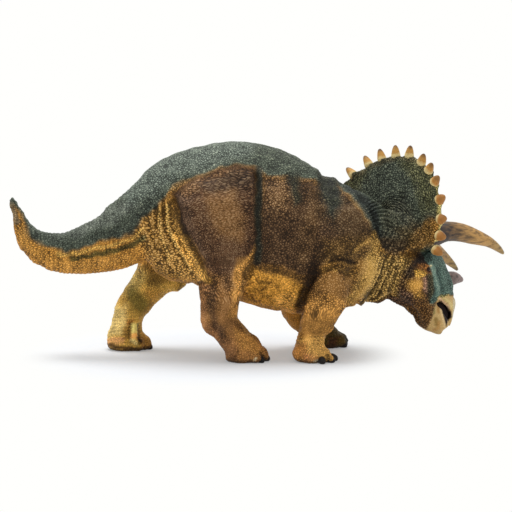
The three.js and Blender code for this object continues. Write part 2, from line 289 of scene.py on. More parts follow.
def evaluated(piece):
    """The piece's mesh with its modifiers applied, in place of the piece."""
    made = bpy.data.meshes.new_from_object(
        piece.evaluated_get(bpy.context.evaluated_depsgraph_get())
    )
    made.name = piece.name
    bpy.data.objects.remove(piece)
    return made


def moulded(nodes, name, fineness, grow):
    """One fine, even skin round copies of several CAD lumps, each swollen to close the glue lines."""
    form = bmesh.new()
    for node in nodes:
        lump = bmesh.new()
        lump.from_mesh(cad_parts[node].data)
        bmesh.ops.remove_doubles(lump, verts=lump.verts, dist=weld_reach * MM)
        lump.normal_update()
        for v in lump.verts:
            v.co += v.normal * grow * MM
        part = mesh_of(lump, "lump")
        form.from_mesh(part)
        bpy.data.meshes.remove(part)
    piece = object_of(mesh_of(form, name), name)
    remesh = piece.modifiers.new("skin", "REMESH")
    remesh.mode = "VOXEL"
    remesh.voxel_size = fineness * MM
    remesh.use_smooth_shade = True
    return outermost(evaluated(piece))


def outermost(mesh):
    """Drops the closed bubbles that a remesh leaves where the plugs sit in their sockets."""
    form = bmesh.new()
    form.from_mesh(mesh)
    form.verts.ensure_lookup_table()
    left = set(form.verts)
    shells = []
    while left:
        shell = [left.pop()]
        for v in shell:
            for edge in v.link_edges:
                other = edge.other_vert(v)
                if other in left:
                    left.remove(other)
                    shell.append(other)
        shells.append(shell)
    biggest = max(shells, key=len)
    drop = [v for shell in shells if shell is not biggest for v in shell]
    bmesh.ops.delete(form, geom=drop, context="VERTS")
    form.to_mesh(mesh)
    form.free()
    return mesh


def edges_of(mesh):
    return read(mesh.edges, "vertices", np.int32)


def eased(values, edges, times, share=0.6, where=None):
    """Values at the points, each moved towards the mean of its neighbours."""
    if where is not None:
        used, local = np.unique(edges[where[edges].any(1)], return_inverse=True)
        values = values.copy()
        values[used] = eased(values[used], local.reshape(-1, 2), times, share)
        return values
    count = np.bincount(edges.ravel(), minlength=len(values)).astype(float)
    for _ in range(times):
        total = np.zeros_like(values)
        for axis in range(values.shape[1]):
            column = values[:, axis]
            total[:, axis] = np.bincount(edges[:, 0], column[edges[:, 1]], len(values))
            total[:, axis] += np.bincount(edges[:, 1], column[edges[:, 0]], len(values))
        values = values + share * (total / count[:, None] - values)
    return values


def ramp(value, low, high):
    """0 below low and 1 above high, with a smooth rise between them."""
    t = np.clip((value - low) / (high - low), 0, 1)
    return t * t * (3 - 2 * t)


hide = moulded(lumps, "hide", voxel, swell)
edges = edges_of(hide)
points = points_of(hide)

# Which lump each point of the hide lies on.
beyond = 8
gap_easing = 12
seam_easing = 25
names = list(lumps)
gaps = np.full((len(points), len(names)), float(beyond))
for k, name in enumerate(names):
    low, high = [np.array(corner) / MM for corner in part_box(name)]
    close = ((points > low - beyond) & (points < high + beyond)).all(1)
    lump = bmesh.new()
    lump.from_mesh(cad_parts[name].data)
    surface = BVHTree.FromBMesh(lump)
    gaps[close, k] = [surface.find_nearest(Vector(p) * MM)[3] / MM for p in points[close]]
    lump.free()
gaps = eased(gaps, edges, gap_easing)
owner = gaps.argmin(1)
on = {name: (owner == k).astype(float)[:, None] for k, name in enumerate(names)}
on = {name: eased(mask, edges, seam_easing)[:, 0] for name, mask in on.items()}

# The facets of the forms are eased smooth, on the feet less than above them.
form_easing = 14
foot_heights = (6, 13)
foot_hold = 0.6
feet = 1 - ramp(points[:, 2], *foot_heights)
points = points + (eased(points, edges, form_easing) - points) * (1 - foot_hold * feet[:, None])

# The head's own frame: the middle of the eyes, the way the beak points, its left and its crown.
head_at = np.array([62.2, 3.53, 35.78])
head_roll = math.radians(-21.5)
head_nod = math.radians(47)
head_turn = math.radians(17)
head_pose = np.array(Euler((head_roll, head_nod, head_turn), "XYZ").to_matrix())


def in_head(spots):
    """Where the figure's points lie in the head's own frame."""
    return (spots - head_at) @ head_pose


def off_head(spots):
    """Where points of the head's own frame lie in the figure."""
    return spots @ head_pose.T + head_at


# The spikes of the frill are pieces of their own, so the hide is pressed flat where they stand.
frill_middle = np.array([-13.8, 0, 7.9])
frill_lean = math.radians(37)
frill_up = np.array([-math.cos(frill_lean), 0, math.sin(frill_lean)])
frill_out = np.array([math.sin(frill_lean), 0, math.cos(frill_lean)])
frill_radius = 33.4
frill_arch = 5
frill_step = 20
frill_reach = [0.84, 0.87, 0.96, 1, 0.92, 0.8, 0.72, 0.66, 0.5, 0.45]
spike_turns = [0, 18, 35, 48, 58, 68, 81, 95, 109, 124]
spike_foot = 0.97
spike_aim = 0.8
pressed_wide = (3, 4)
pressed_high = 7
pressed_reach = 5.5
rim_easing = 40


def rim_at(turns):
    """How far the frill reaches at turns from its top, in degrees."""
    return np.interp(np.abs(turns) / frill_step, range(len(frill_reach)), frill_reach) * frill_radius


def rim_point(turn, share):
    """The point of the frill at a turn from its top and a share of its reach, in the head's frame."""
    reach = rim_at(turn) * share
    aside = math.sin(math.radians(turn)) * reach
    ahead = math.cos(math.radians(turn)) * reach
    sag = frill_arch * (aside / frill_radius) ** 2
    return frill_middle + frill_up * ahead + np.array([0, aside, 0]) - frill_out * sag


def rim_aim(turn, foot):
    """The direction in which a spike stands out from its foot on the rim."""
    out = foot - rim_point(turn, spike_aim)
    return out / np.linalg.norm(out)


head_spots = in_head(points)
pressed = np.zeros(len(points), bool)
for turn in sorted({side * turn for turn in spike_turns for side in (-1, 1)}):
    foot = rim_point(turn, spike_foot)
    out = rim_aim(turn, foot)
    away = head_spots - foot
    along = away @ out
    aside = np.linalg.norm(away - along[:, None] * out, axis=1)
    sunk = np.maximum(along, 0) * (1 - ramp(aside, *pressed_wide)) * (along < pressed_high)
    head_spots -= sunk[:, None] * out
    pressed |= np.linalg.norm(head_spots - foot, axis=1) < pressed_reach
points = off_head(head_spots)
points = np.where(pressed[:, None], eased(points, edges, rim_easing, where=pressed), points)

# The soles are rounded under, as soft vinyl comes out of its mould.
leg_names = [name for name in names if "leg" in name]
ground_height = 1
sole_rise = 4.2
sole_tuck = 2.6
sole_still = (1, 5)
for name in leg_names:
    mine = owner == names.index(name)
    ground = points[mine & (points[:, 2] < ground_height)]
    middle = (ground.max(0) + ground.min(0))[:2] / 2
    low = np.clip(1 - points[mine, 2] / sole_rise, 0, 1)
    inward = middle - points[mine, :2]
    far = np.maximum(np.hypot(*inward.T), 1)
    tuck = sole_tuck * (1 - np.sqrt(1 - low**2)) * ramp(far, *sole_still) / far
    points[mine, :2] += inward * tuck[:, None]


def on_photo(spots):
    """Where points fall on the photograph, in its pixels."""
    away = spots - camera_at
    depth = -(away @ view_back)
    scale = view_reach / (photo_pitch * depth)
    across = photo_side / 2 + (away @ view_right) * scale
    down = photo_side / 2 - (away @ view_up) * scale
    return np.stack([across, down], 1)


def reach_of(line, spots):
    """The distance of each spot from a line of points, in pixels."""
    best = np.full(len(spots), 1e9)
    for a, b in zip(np.array(line[:-1], float), np.array(line[1:], float)):
        step = b - a
        t = np.clip(((spots - a) @ step) / max(step @ step, 1e-9), 0, 1)
        best = np.minimum(best, np.hypot(*(spots - a - t[:, None] * step).T))
    return best


def near(line, spots, wide, power=2):
    """1 on a line of points and 0 well past its width, the more sharply the higher the power."""
    return np.exp(-((reach_of(line, spots) / wide) ** power))


def within(outline, spots, soft):
    """1 inside an outline and 0 outside it, with an edge that is soft pixels wide."""
    closed = [*outline, outline[0]]
    inside = np.zeros(len(spots), bool)
    for (x0, y0), (x1, y1) in zip(closed[:-1], closed[1:]):
        crosses = (y0 > spots[:, 1]) != (y1 > spots[:, 1])
        rise = y1 - y0 if y1 != y0 else 1e-9
        inside ^= crosses & (spots[:, 0] < (x1 - x0) * (spots[:, 1] - y0) / rise + x0)
    depth = np.where(inside, 1, -1) * reach_of(closed, spots)
    return ramp(depth, -soft / 2, soft / 2)


# Folds and paint are placed where the photograph shows them, on the right side. The left side takes
# the same from its mirrored place, about the middle line of the body and of the head.
spine_y = -8.17
tail_line_x = [-101.8, -98.7, -93.7, -88.4, -79.9, -70.2, -60.5, -50.8]
tail_line_y = [-4.7, -3.7, -2.2, -1.2, -1.7, -3.8, -6.1, -7.7]
head_spots = in_head(points)
middle_y = np.interp(points[:, 0], tail_line_x, tail_line_y, right=spine_y)
folded = points.copy()
folded[:, 1] = np.minimum(points[:, 1], 2 * middle_y - points[:, 1])
head_folded = head_spots.copy()
head_folded[:, 1] = -np.abs(head_folded[:, 1])
head_folded = off_head(head_folded)
headness = on["head"] + on["lower_jaw"]
near_half = (points[:, 1] <= middle_y) & (headness < 0.5)
folded = np.where(
    near_half[:, None],
    points,
    folded * (1 - headness[:, None]) + head_folded * headness[:, None],
)
own_px = on_photo(points)
folded_px = on_photo(folded)

# Small shifts of the hide onto its photographed outline: a line, its width and the shift, in pixels.
nudges = [
    ([(434, 298), (439, 306), (444, 316), (446, 326)], 6.5, (4.6, -0.8)),
    ([(442, 300), (447, 303), (451, 309)], 2.5, (-2.2, 2.6)),
    ([(437, 303), (440, 309)], 2.8, (4.2, -1.4)),
    ([(450, 320), (452, 325)], 3.5, (-5.0, 3.0)),
    ([(443, 332), (447, 329)], 2.5, (-1.6, -1.2)),
    ([(432, 333), (441, 333)], 3, (0, -1.4)),
    ([(6, 200), (10, 204)], 6, (5.2, 0.8)),
    ([(12, 214), (18, 236), (28, 250)], 6, (4.4, -1.2)),
    ([(21, 212), (33, 232)], 5, (1.2, -0.6)),
    ([(75, 222), (100, 211), (125, 195), (145, 176)], 8, (-0.6, -1.6)),
    ([(80, 221), (103, 209)], 6, (-0.4, -1.0)),
    ([(50, 268), (90, 272), (130, 266)], 6, (0, 1.2)),
    ([(308, 166), (326, 175)], 6, (0.6, -1.6)),
    ([(320, 174), (333, 180)], 6, (0.6, -4.8)),
    ([(201, 303), (202, 322)], 5, (2.2, 0)),
    ([(212, 338), (222, 352)], 6, (3.6, -1.4)),
    ([(241, 318), (251, 331)], 5, (-2.4, 0.8)),
    ([(391, 302), (401, 308), (412, 320)], 7.5, (2.4, -6.4)),
    ([(362, 301), (377, 301)], 5, (0, 4.4)),
    ([(295, 334), (294, 346)], 4, (2.0, 0)),
    ([(282, 312), (296, 329)], 4, (1.5, -1.7)),
    ([(329, 334), (330, 341)], 4.5, (-3.4, 0)),
    ([(332, 345), (336, 350)], 4.5, (-5.0, 1.6)),
    ([(336, 353), (340, 360)], 4, (-1.6, 0.4)),
    ([(338, 318), (336, 325)], 4, (-2.0, 0)),
    ([(193, 286), (203, 288)], 4, (0, -4.0)),
    ([(456, 292), (456, 318)], 5, (-2.6, 0)),
    ([(432, 156), (439, 180), (442, 204), (442, 232)], 7, (4.8, 0)),
    ([(414, 161), (428, 172)], 4, (0.8, -1.2)),
]
# The same for the left legs, then for whatever shows at a place, and for the lower lip.
far_leg_nudges = [
    ([(134, 268), (122, 292)], 5, (2.4, 0.8)),
    ([(116, 308), (114, 318)], 4, (-1.6, 0)),
    ([(144, 330), (145, 318)], 5, (-3.8, 0)),
    ([(154, 303), (170, 294)], 5, (-1.0, -1.8)),
    ([(178, 289), (184, 285)], 3.5, (0.6, 2.4)),
    ([(104, 340), (110, 350)], 6, (0.6, 0)),
    ([(344, 348), (349, 345)], 4, (0.4, -2.2)),
]
outline_nudges = [
    ([(389, 302), (399, 307), (411, 318)], 5, (1.8, -3.4)),
    ([(364, 301), (377, 301)], 5, (0, 2.8)),
    ([(345, 306), (352, 303)], 4, (1.2, 1.2)),
    ([(344, 182), (352, 172)], 4, (-3.0, -1.2)),
    ([(358, 167), (372, 161), (386, 158)], 4, (-1.0, -1.4)),
    ([(392, 158), (408, 158)], 4, (0, -1.2)),
]
lower_lip_nudges = [([(437, 304), (439.5, 308)], 3, (2.0, -2.8))]


def shifted(spots, lines):
    """The shifts of several lines together, for spots in photograph pixels."""
    total = np.zeros((len(spots), 2))
    for line, wide, shift in lines:
        total += near(line, spots, wide)[:, None] * np.array(shift, float)
    return total


thigh_heights = (30, 40)
crest_half = 1.5
far_leg = (on["hind_leg_left"] + on["fore_leg_left"]) * (1 - ramp(points[:, 2], *thigh_heights))
body_shift = shifted(folded_px, nudges) * (1 - far_leg[:, None])
body_shift += shifted(folded_px, lower_lip_nudges) * on["lower_jaw"][:, None]
edge_shift = shifted(own_px, outline_nudges) * (1 - far_leg[:, None])
leg_shift = shifted(own_px, far_leg_nudges) * far_leg[:, None]
body_move = body_shift[:, :1] * view_right - body_shift[:, 1:] * view_up
head_move = body_move @ head_pose
head_move[:, 1] *= -np.clip(head_spots[:, 1] / crest_half, -1, 1)
body_move[:, 1] *= np.where(points[:, 1] > middle_y, -1, 1)
body_move += (head_move @ head_pose.T - body_move) * headness[:, None]
leg_shift += edge_shift
leg_move = leg_shift[:, :1] * view_right - leg_shift[:, 1:] * view_up
points = points + (body_move + leg_move) * photo_pitch
folded_px = folded_px + body_shift
own_px = own_px + body_shift + leg_shift

# Where the frill meets the back, the hide runs over in one smooth hollow.
nape_easing = 500
nape = [(342, 186), (354, 176), (374, 174), (398, 194), (422, 216), (430, 236), (426, 254),
        (408, 260), (388, 262), (374, 244), (360, 218), (348, 200)]
napeness = within(nape, folded_px, 10)[:, None]
nape_eased = eased(points, edges, nape_easing, where=napeness[:, 0] > 0)
points = points + (nape_eased - points) * napeness
set_points(hide, points)

chance_seed = 11
chance = np.random.default_rng(chance_seed)


def wander(spots, pitch, waves=12):
    """Smooth unevenness from about -1 to 1, with lumps about a pitch across."""
    total = np.zeros(len(spots))
    for _ in range(waves):
        aim = chance.normal(size=3)
        aim *= math.pi / pitch / np.linalg.norm(aim)
        total += np.sin(spots @ aim + chance.uniform(0, 2 * math.pi))
    return total / math.sqrt(waves)


# Folds pressed into the hide, in the photograph's pixels: a line, its width, and its depth.
folds = [
    ([(256, 176), (259, 200), (259, 232), (256, 256), (248, 276)], 3.4, 1.3),
    ([(174, 200), (180, 221), (190, 243), (202, 262), (207, 280)], 2.4, 1.1),
    ([(163, 199), (166, 225), (173, 248), (186, 268)], 1.8, 0.8),
    ([(169, 202), (173, 226), (182, 248), (195, 268)], 1.5, 0.6),
    ([(156, 206), (158, 232), (166, 256)], 1.8, 0.8),
    ([(153, 206), (156, 228), (164, 250), (176, 270)], 1.3, -0.5),
    ([(143, 218), (148, 238), (158, 258)], 1.3, -0.45),
    ([(160, 202), (164, 224), (171, 246), (182, 266)], 1.2, -0.5),
    ([(166, 199), (171, 224), (179, 248), (191, 270)], 1.2, -0.5),
    ([(137, 230), (143, 246), (152, 262)], 1.4, 0.4),
    ([(148, 214), (151, 234), (157, 250)], 1.6, 0.6),
    ([(129.5, 338), (129.5, 330), (131, 322)], 1.8, 0.4),
    ([(139.5, 344), (139, 333), (138, 324)], 1.8, 0.5),
    ([(134.5, 338), (134.5, 332), (134.5, 325)], 2.6, -0.8),
    ([(205, 288), (212, 300), (214, 318), (214, 330)], 3.0, 0.2),
    ([(220, 288), (225, 302), (224, 318)], 4.5, -0.5),
    ([(236, 262), (232, 280), (233, 300)], 3.0, -0.5),
    ([(321, 300), (316, 316), (312, 330)], 3.0, 0.15),
    ([(306, 318), (306, 330), (308, 340)], 4.0, -0.4),
    ([(264, 359), (262, 352)], 1.6, 0.6),
    ([(328, 362), (327, 355)], 1.6, 0.5),
    ([(199, 283), (207, 280), (213, 284)], 2.0, 0.6),
    ([(298, 305), (303, 292), (309, 281), (320, 272), (336, 268), (352, 271)], 2.8, 1.1),
    ([(309, 284), (316, 266), (326, 254)], 3.0, 0.7),
    ([(333, 262), (345, 258), (357, 262)], 1.5, 0.6),
    ([(337, 267), (347, 264), (357, 268)], 1.3, 0.4),
    ([(352, 181), (370, 204), (380, 225), (384, 244)], 3.0, 0.6),
    ([(320, 243), (312, 262), (309, 280)], 3.0, 0.4),
    ([(360, 240), (350, 252), (332, 258)], 1.8, 0.4),
    ([(407, 264), (414, 256), (428, 255)], 3.0, 1.2),
    ([(255, 258), (262, 267), (282, 272), (303, 276)], 2.4, 0.35),
    ([(242, 285), (243, 291), (247, 294), (250, 290)], 0.8, 0.22),
    ([(253, 296), (256, 300), (261, 300), (263, 295)], 0.8, 0.22),
    ([(247, 279), (250, 284), (254, 282)], 0.8, 0.2),
    ([(257, 278), (260, 284), (264, 282)], 0.8, 0.2),
    ([(267, 279), (270, 285), (274, 283)], 0.8, 0.2),
    ([(255, 288), (260, 292), (266, 290)], 0.8, 0.2),
    ([(378, 244), (378, 258), (372, 276), (362, 292), (352, 302)], 3.2, -0.4),
    ([(386, 258), (382, 274), (372, 292), (362, 303)], 1.6, 0.6),
    ([(393, 258), (389, 274), (380, 292), (372, 303)], 1.4, 0.5),
    ([(399, 260), (396, 276), (388, 292)], 1.4, 0.4),
]
# Swellings of muscle and bone: the middle, the half width, and the height.
swellings = [
    ((218, 205), 26, 0.9),
    ((232, 250), 18, 0.5),
    ((278, 196), 13, 0.5),
    ((309, 215), 12, 0.4),
    ((352, 215), 14, 0.7),
    ((335, 284), 11, 0.9),
    ((366, 268), 9, 0.6),
    ((418, 285), 6, 0.8),
    ((203, 320), 7, 0.7),
    ((160, 235), 12, 0.4),
]
neck_folds = [(376, 236), (388, 226), (404, 232), (414, 250), (412, 280), (404, 302), (374, 300)]
jaw_folds = [(400, 290), (414, 292), (430, 304), (432, 322), (420, 326), (404, 306)]
frill_root = [(366, 204), (380, 192), (398, 192), (412, 206), (412, 232), (392, 236), (374, 228)]
hind_ankle = [(107, 302), (135, 306), (140, 330), (133, 346), (104, 344)]
fore_ankle = [(292, 332), (334, 332), (338, 346), (292, 346)]
diagonal = 1 / math.sqrt(2)
# Close folds side by side: their area, the softness of its edge, their height and pitch, where their
# count starts, and the steps across and down that it is counted in. Those of the frill are rings.
close_folds = [
    (neck_folds, 8, 0.34, 3.6, (0, 265), (1, 0.45)),
    (jaw_folds, 6, 0.16, 2.9, (0, 0), (diagonal, diagonal)),
    (hind_ankle, 6, 0.1, 4, (0, 0), (0.12, 1)),
    (fore_ankle, 6, 0.1, 4, (0, 0), (0.12, 1)),
]
frill_rings = (frill_root, 9, 0.3, 3.6)
frill_rings_at = (383, 240)


def rippled(spots, count, outline, soft, high, pitch):
    """Folds side by side in an area, for spots whose place across the folds is count."""
    return high * np.sin(2 * math.pi * count / pitch) * within(outline, spots, soft)


def relief_at(spots):
    """How far the mould's broad forms stand out of the hide, for spots in photograph pixels."""
    out = np.zeros(len(spots))
    for line, wide, deep in folds:
        out -= deep * near(line, spots, wide)
    for middle, wide, high in swellings:
        away = np.hypot(*(spots - np.array(middle, float)).T)
        out += high * np.exp(-((away / wide) ** 2))
    for *area, start, steps in close_folds:
        out += rippled(spots, (spots - np.array(start, float)) @ np.array(steps), *area)
    ring = np.hypot(*(spots - np.array(frill_rings_at, float)).T)
    return out + rippled(spots, ring, *frill_rings)


tail_ring_pitch = 1.7
tail_ring_high = 0.1
tail_ring_sway = 1.5
tail_ring_from = (40, 62)
sway_pitch = 7
drift_pitch = 9
body_drift = 1.4
leg_drift = 1.2
lump_pitch = 3.2
lump_high = 0.12
uneven = wander(points, sway_pitch)
drift = np.stack([wander(points, drift_pitch) for _ in range(2)], 1)
leg_px = own_px + leg_drift * drift
body_px = folded_px + body_drift * drift
relief = relief_at(body_px) * (1 - far_leg) + relief_at(leg_px) * far_leg
tailness = ramp(-points[:, 0], *tail_ring_from) * on["tail"]
tail_rings = np.sin(2 * math.pi * points[:, 0] / tail_ring_pitch + tail_ring_sway * uneven)
relief += tailness * tail_ring_high * tail_rings
relief += lump_high * wander(points, lump_pitch)

# Scales: round pebbles over most of the hide, and wider plates on the belly and the rump.
pebble_pitch = 0.85
plate_pitch = 1.15
pebble_rise = 0.13
plate_rise = 0.26
pebble_slope = (0.03, 0.3)
plate_slope = (0.03, 0.25)
belly = [(246, 262), (300, 272), (306, 300), (296, 330), (272, 312), (238, 302)]
rump = [(132, 232), (150, 214), (168, 204), (186, 240), (206, 284), (170, 276), (140, 262)]
belly_plates = 0.4
plates = np.maximum(belly_plates * within(belly, body_px, 8), within(rump, body_px, 14))
plates *= 1 - far_leg


def store(mesh, name, values):
    """Keeps a number, a direction or a colour for each point of a mesh."""
    kinds = {1: ("FLOAT", "value"), 3: ("FLOAT_VECTOR", "vector"), 4: ("FLOAT_COLOR", "color")}
    kind, port = kinds[values.size // len(values)]
    made = mesh.attributes.new(name, kind, "POINT")
    made.data.foreach_set(port, values.astype(np.float32).ravel())


def fanned(place, outline, centre, soft, along, across, px=folded_px, part=1 - far_leg):
    """Turns the grain of an area to run in arcs round a centre, stretched along and across them."""
    mask = within(outline, px, soft) * part
    spoke = px - np.array(centre, float)
    reach = np.hypot(*spoke.T)
    middle = spoke[mask > 0.5].mean(0)
    turn = np.arctan2(middle[0] * spoke[:, 1] - middle[1] * spoke[:, 0], spoke @ middle)
    span = np.hypot(*middle)
    outward = middle / span
    sideways = np.array([-outward[1], outward[0]])
    fan = (span + across * (reach - span))[:, None] * outward
    fan += (along * span * turn)[:, None] * sideways
    shift = (fan - spoke) * mask[:, None] * photo_pitch
    place[:, 0] += shift[:, 0]
    place[:, 2] -= shift[:, 1]


# The scales run in arcs round the thigh, rump, neck, shins and frill: the area, the centre of its arcs,
# the softness of its edge, the stretch along the arcs and the one across them.
fans = [
    ([(176, 195), (196, 178), (238, 166), (256, 168), (257, 240), (240, 262), (206, 262)],
     (228, 300), 8, 0.75, 1.7),
    ([(132, 232), (150, 210), (172, 196), (180, 222), (206, 264), (200, 288), (150, 280)],
     (290, 190), 10, 1.2, 1.0),
    ([(372, 246), (392, 238), (410, 244), (412, 270), (404, 304), (366, 306)],
     (300, 265), 10, 0.85, 1.0),
    ([(198, 300), (244, 296), (244, 326), (276, 352), (276, 366), (222, 366), (198, 330)],
     (236, 100), 14, 1.35, 1.35),
    ([(292, 318), (340, 312), (330, 334), (344, 364), (288, 364)],
     (316, 100), 12, 1.35, 1.35),
    ([(350, 176), (380, 160), (412, 160), (432, 182), (434, 204), (410, 204), (380, 192)],
     (384, 250), 10, 0.5, 0.8),
]
far_fan = ([(104, 350), (110, 312), (134, 262), (190, 262), (186, 284), (150, 308), (146, 330),
            (156, 350)], (140, 60), 14, 1.3, 1.3)
grain_stretch = (0.88, 0.85, 1.08)
grain_sways = ((4, 0.25), (1.7, 0.16))
grain = points * grain_stretch
for fan in fans:
    fanned(grain, *fan)
fanned(grain, *far_fan, own_px, far_leg)
for lump_size, sway in grain_sways:
    grain += sway * np.stack([wander(points, lump_size) for _ in range(3)], 1)
store(hide, "grain", grain)
scales = bpy.data.node_groups.new("scales", "GeometryNodeTree")
scales.interface.new_socket("Hide", in_out="INPUT", socket_type="NodeSocketGeometry")
scales.interface.new_socket("Hide", in_out="OUTPUT", socket_type="NodeSocketGeometry")
tree = Tree(scales)
skin = tree.node("NodeGroupInput")
place = tree.node("GeometryNodeInputNamedAttribute", {"data_type": "FLOAT_VECTOR"}, "grain")
edge_of = {"feature": "DISTANCE_TO_EDGE"}
for name, pitch in (("pebble", pebble_pitch), ("plate", plate_pitch)):
    cells = tree.node("ShaderNodeTexVoronoi", edge_of, Vector=place, Scale=1 / pitch)
    skin = tree.node("GeometryNodeStoreNamedAttribute", None, skin, Name=name, Value=cells)
tree.node("NodeGroupOutput", None, skin)
piece = object_of(hide, "hide")
piece.modifiers.new("scales", "NODES").node_group = scales
hide = evaluated(piece)
pebble = ramp(read(hide.attributes["pebble"].data, "value").astype(float), *pebble_slope)
plate = ramp(read(hide.attributes["plate"].data, "value").astype(float), *plate_slope)

# The face's own forms: the brow's ridge, the cheek, the beak's rim, the hollow and the eyelid.
face_folds = [
    ([(424, 255), (430, 264), (435, 276), (438, 288), (437, 297)], 2.0, 0.45),
    ([(428, 276), (430, 288), (428, 300)], 2.5, -0.4),
    ([(427, 302), (433, 300), (438, 297), (447, 294), (455, 297)], 1.3, -0.35),
]
hollow = [(404, 256), (414, 256), (426, 259)]
hollow_wide = 4.5
hollow_deep = 1.3
hollow_ahead = (-14, -6)
lid_at = (429.5, 269.5)
lid_radius = 4
lid_wide = 1.4
lid_high = 0.5
lid_ahead = (-4, 0)
beak_smooth = 0.85
beak_ahead = (22, 25)
for line, wide, high in face_folds:
    relief += high * near(line, folded_px, wide) * headness
hollowness = near(hollow, folded_px, hollow_wide) * headness * ramp(head_spots[:, 0], *hollow_ahead)
relief -= hollow_deep * hollowness
lid = np.hypot(*(folded_px - np.array(lid_at)).T)
lidness = np.exp(-(((lid - lid_radius) / lid_wide) ** 2)) * headness * ramp(head_spots[:, 0], *lid_ahead)
relief += lid_high * lidness
scale_rise = pebble * pebble_rise * (1 - plates) + plate * plate_rise * plates
beakness = ramp(head_spots[:, 0], *beak_ahead) * headness
relief += (scale_rise - 0.5 * pebble_rise) * (1 - beak_smooth * beakness)
points = points + normals_of(hide) * relief[:, None]
points[:, 2] = np.maximum(points[:, 2], 0)
set_points(hide, points)

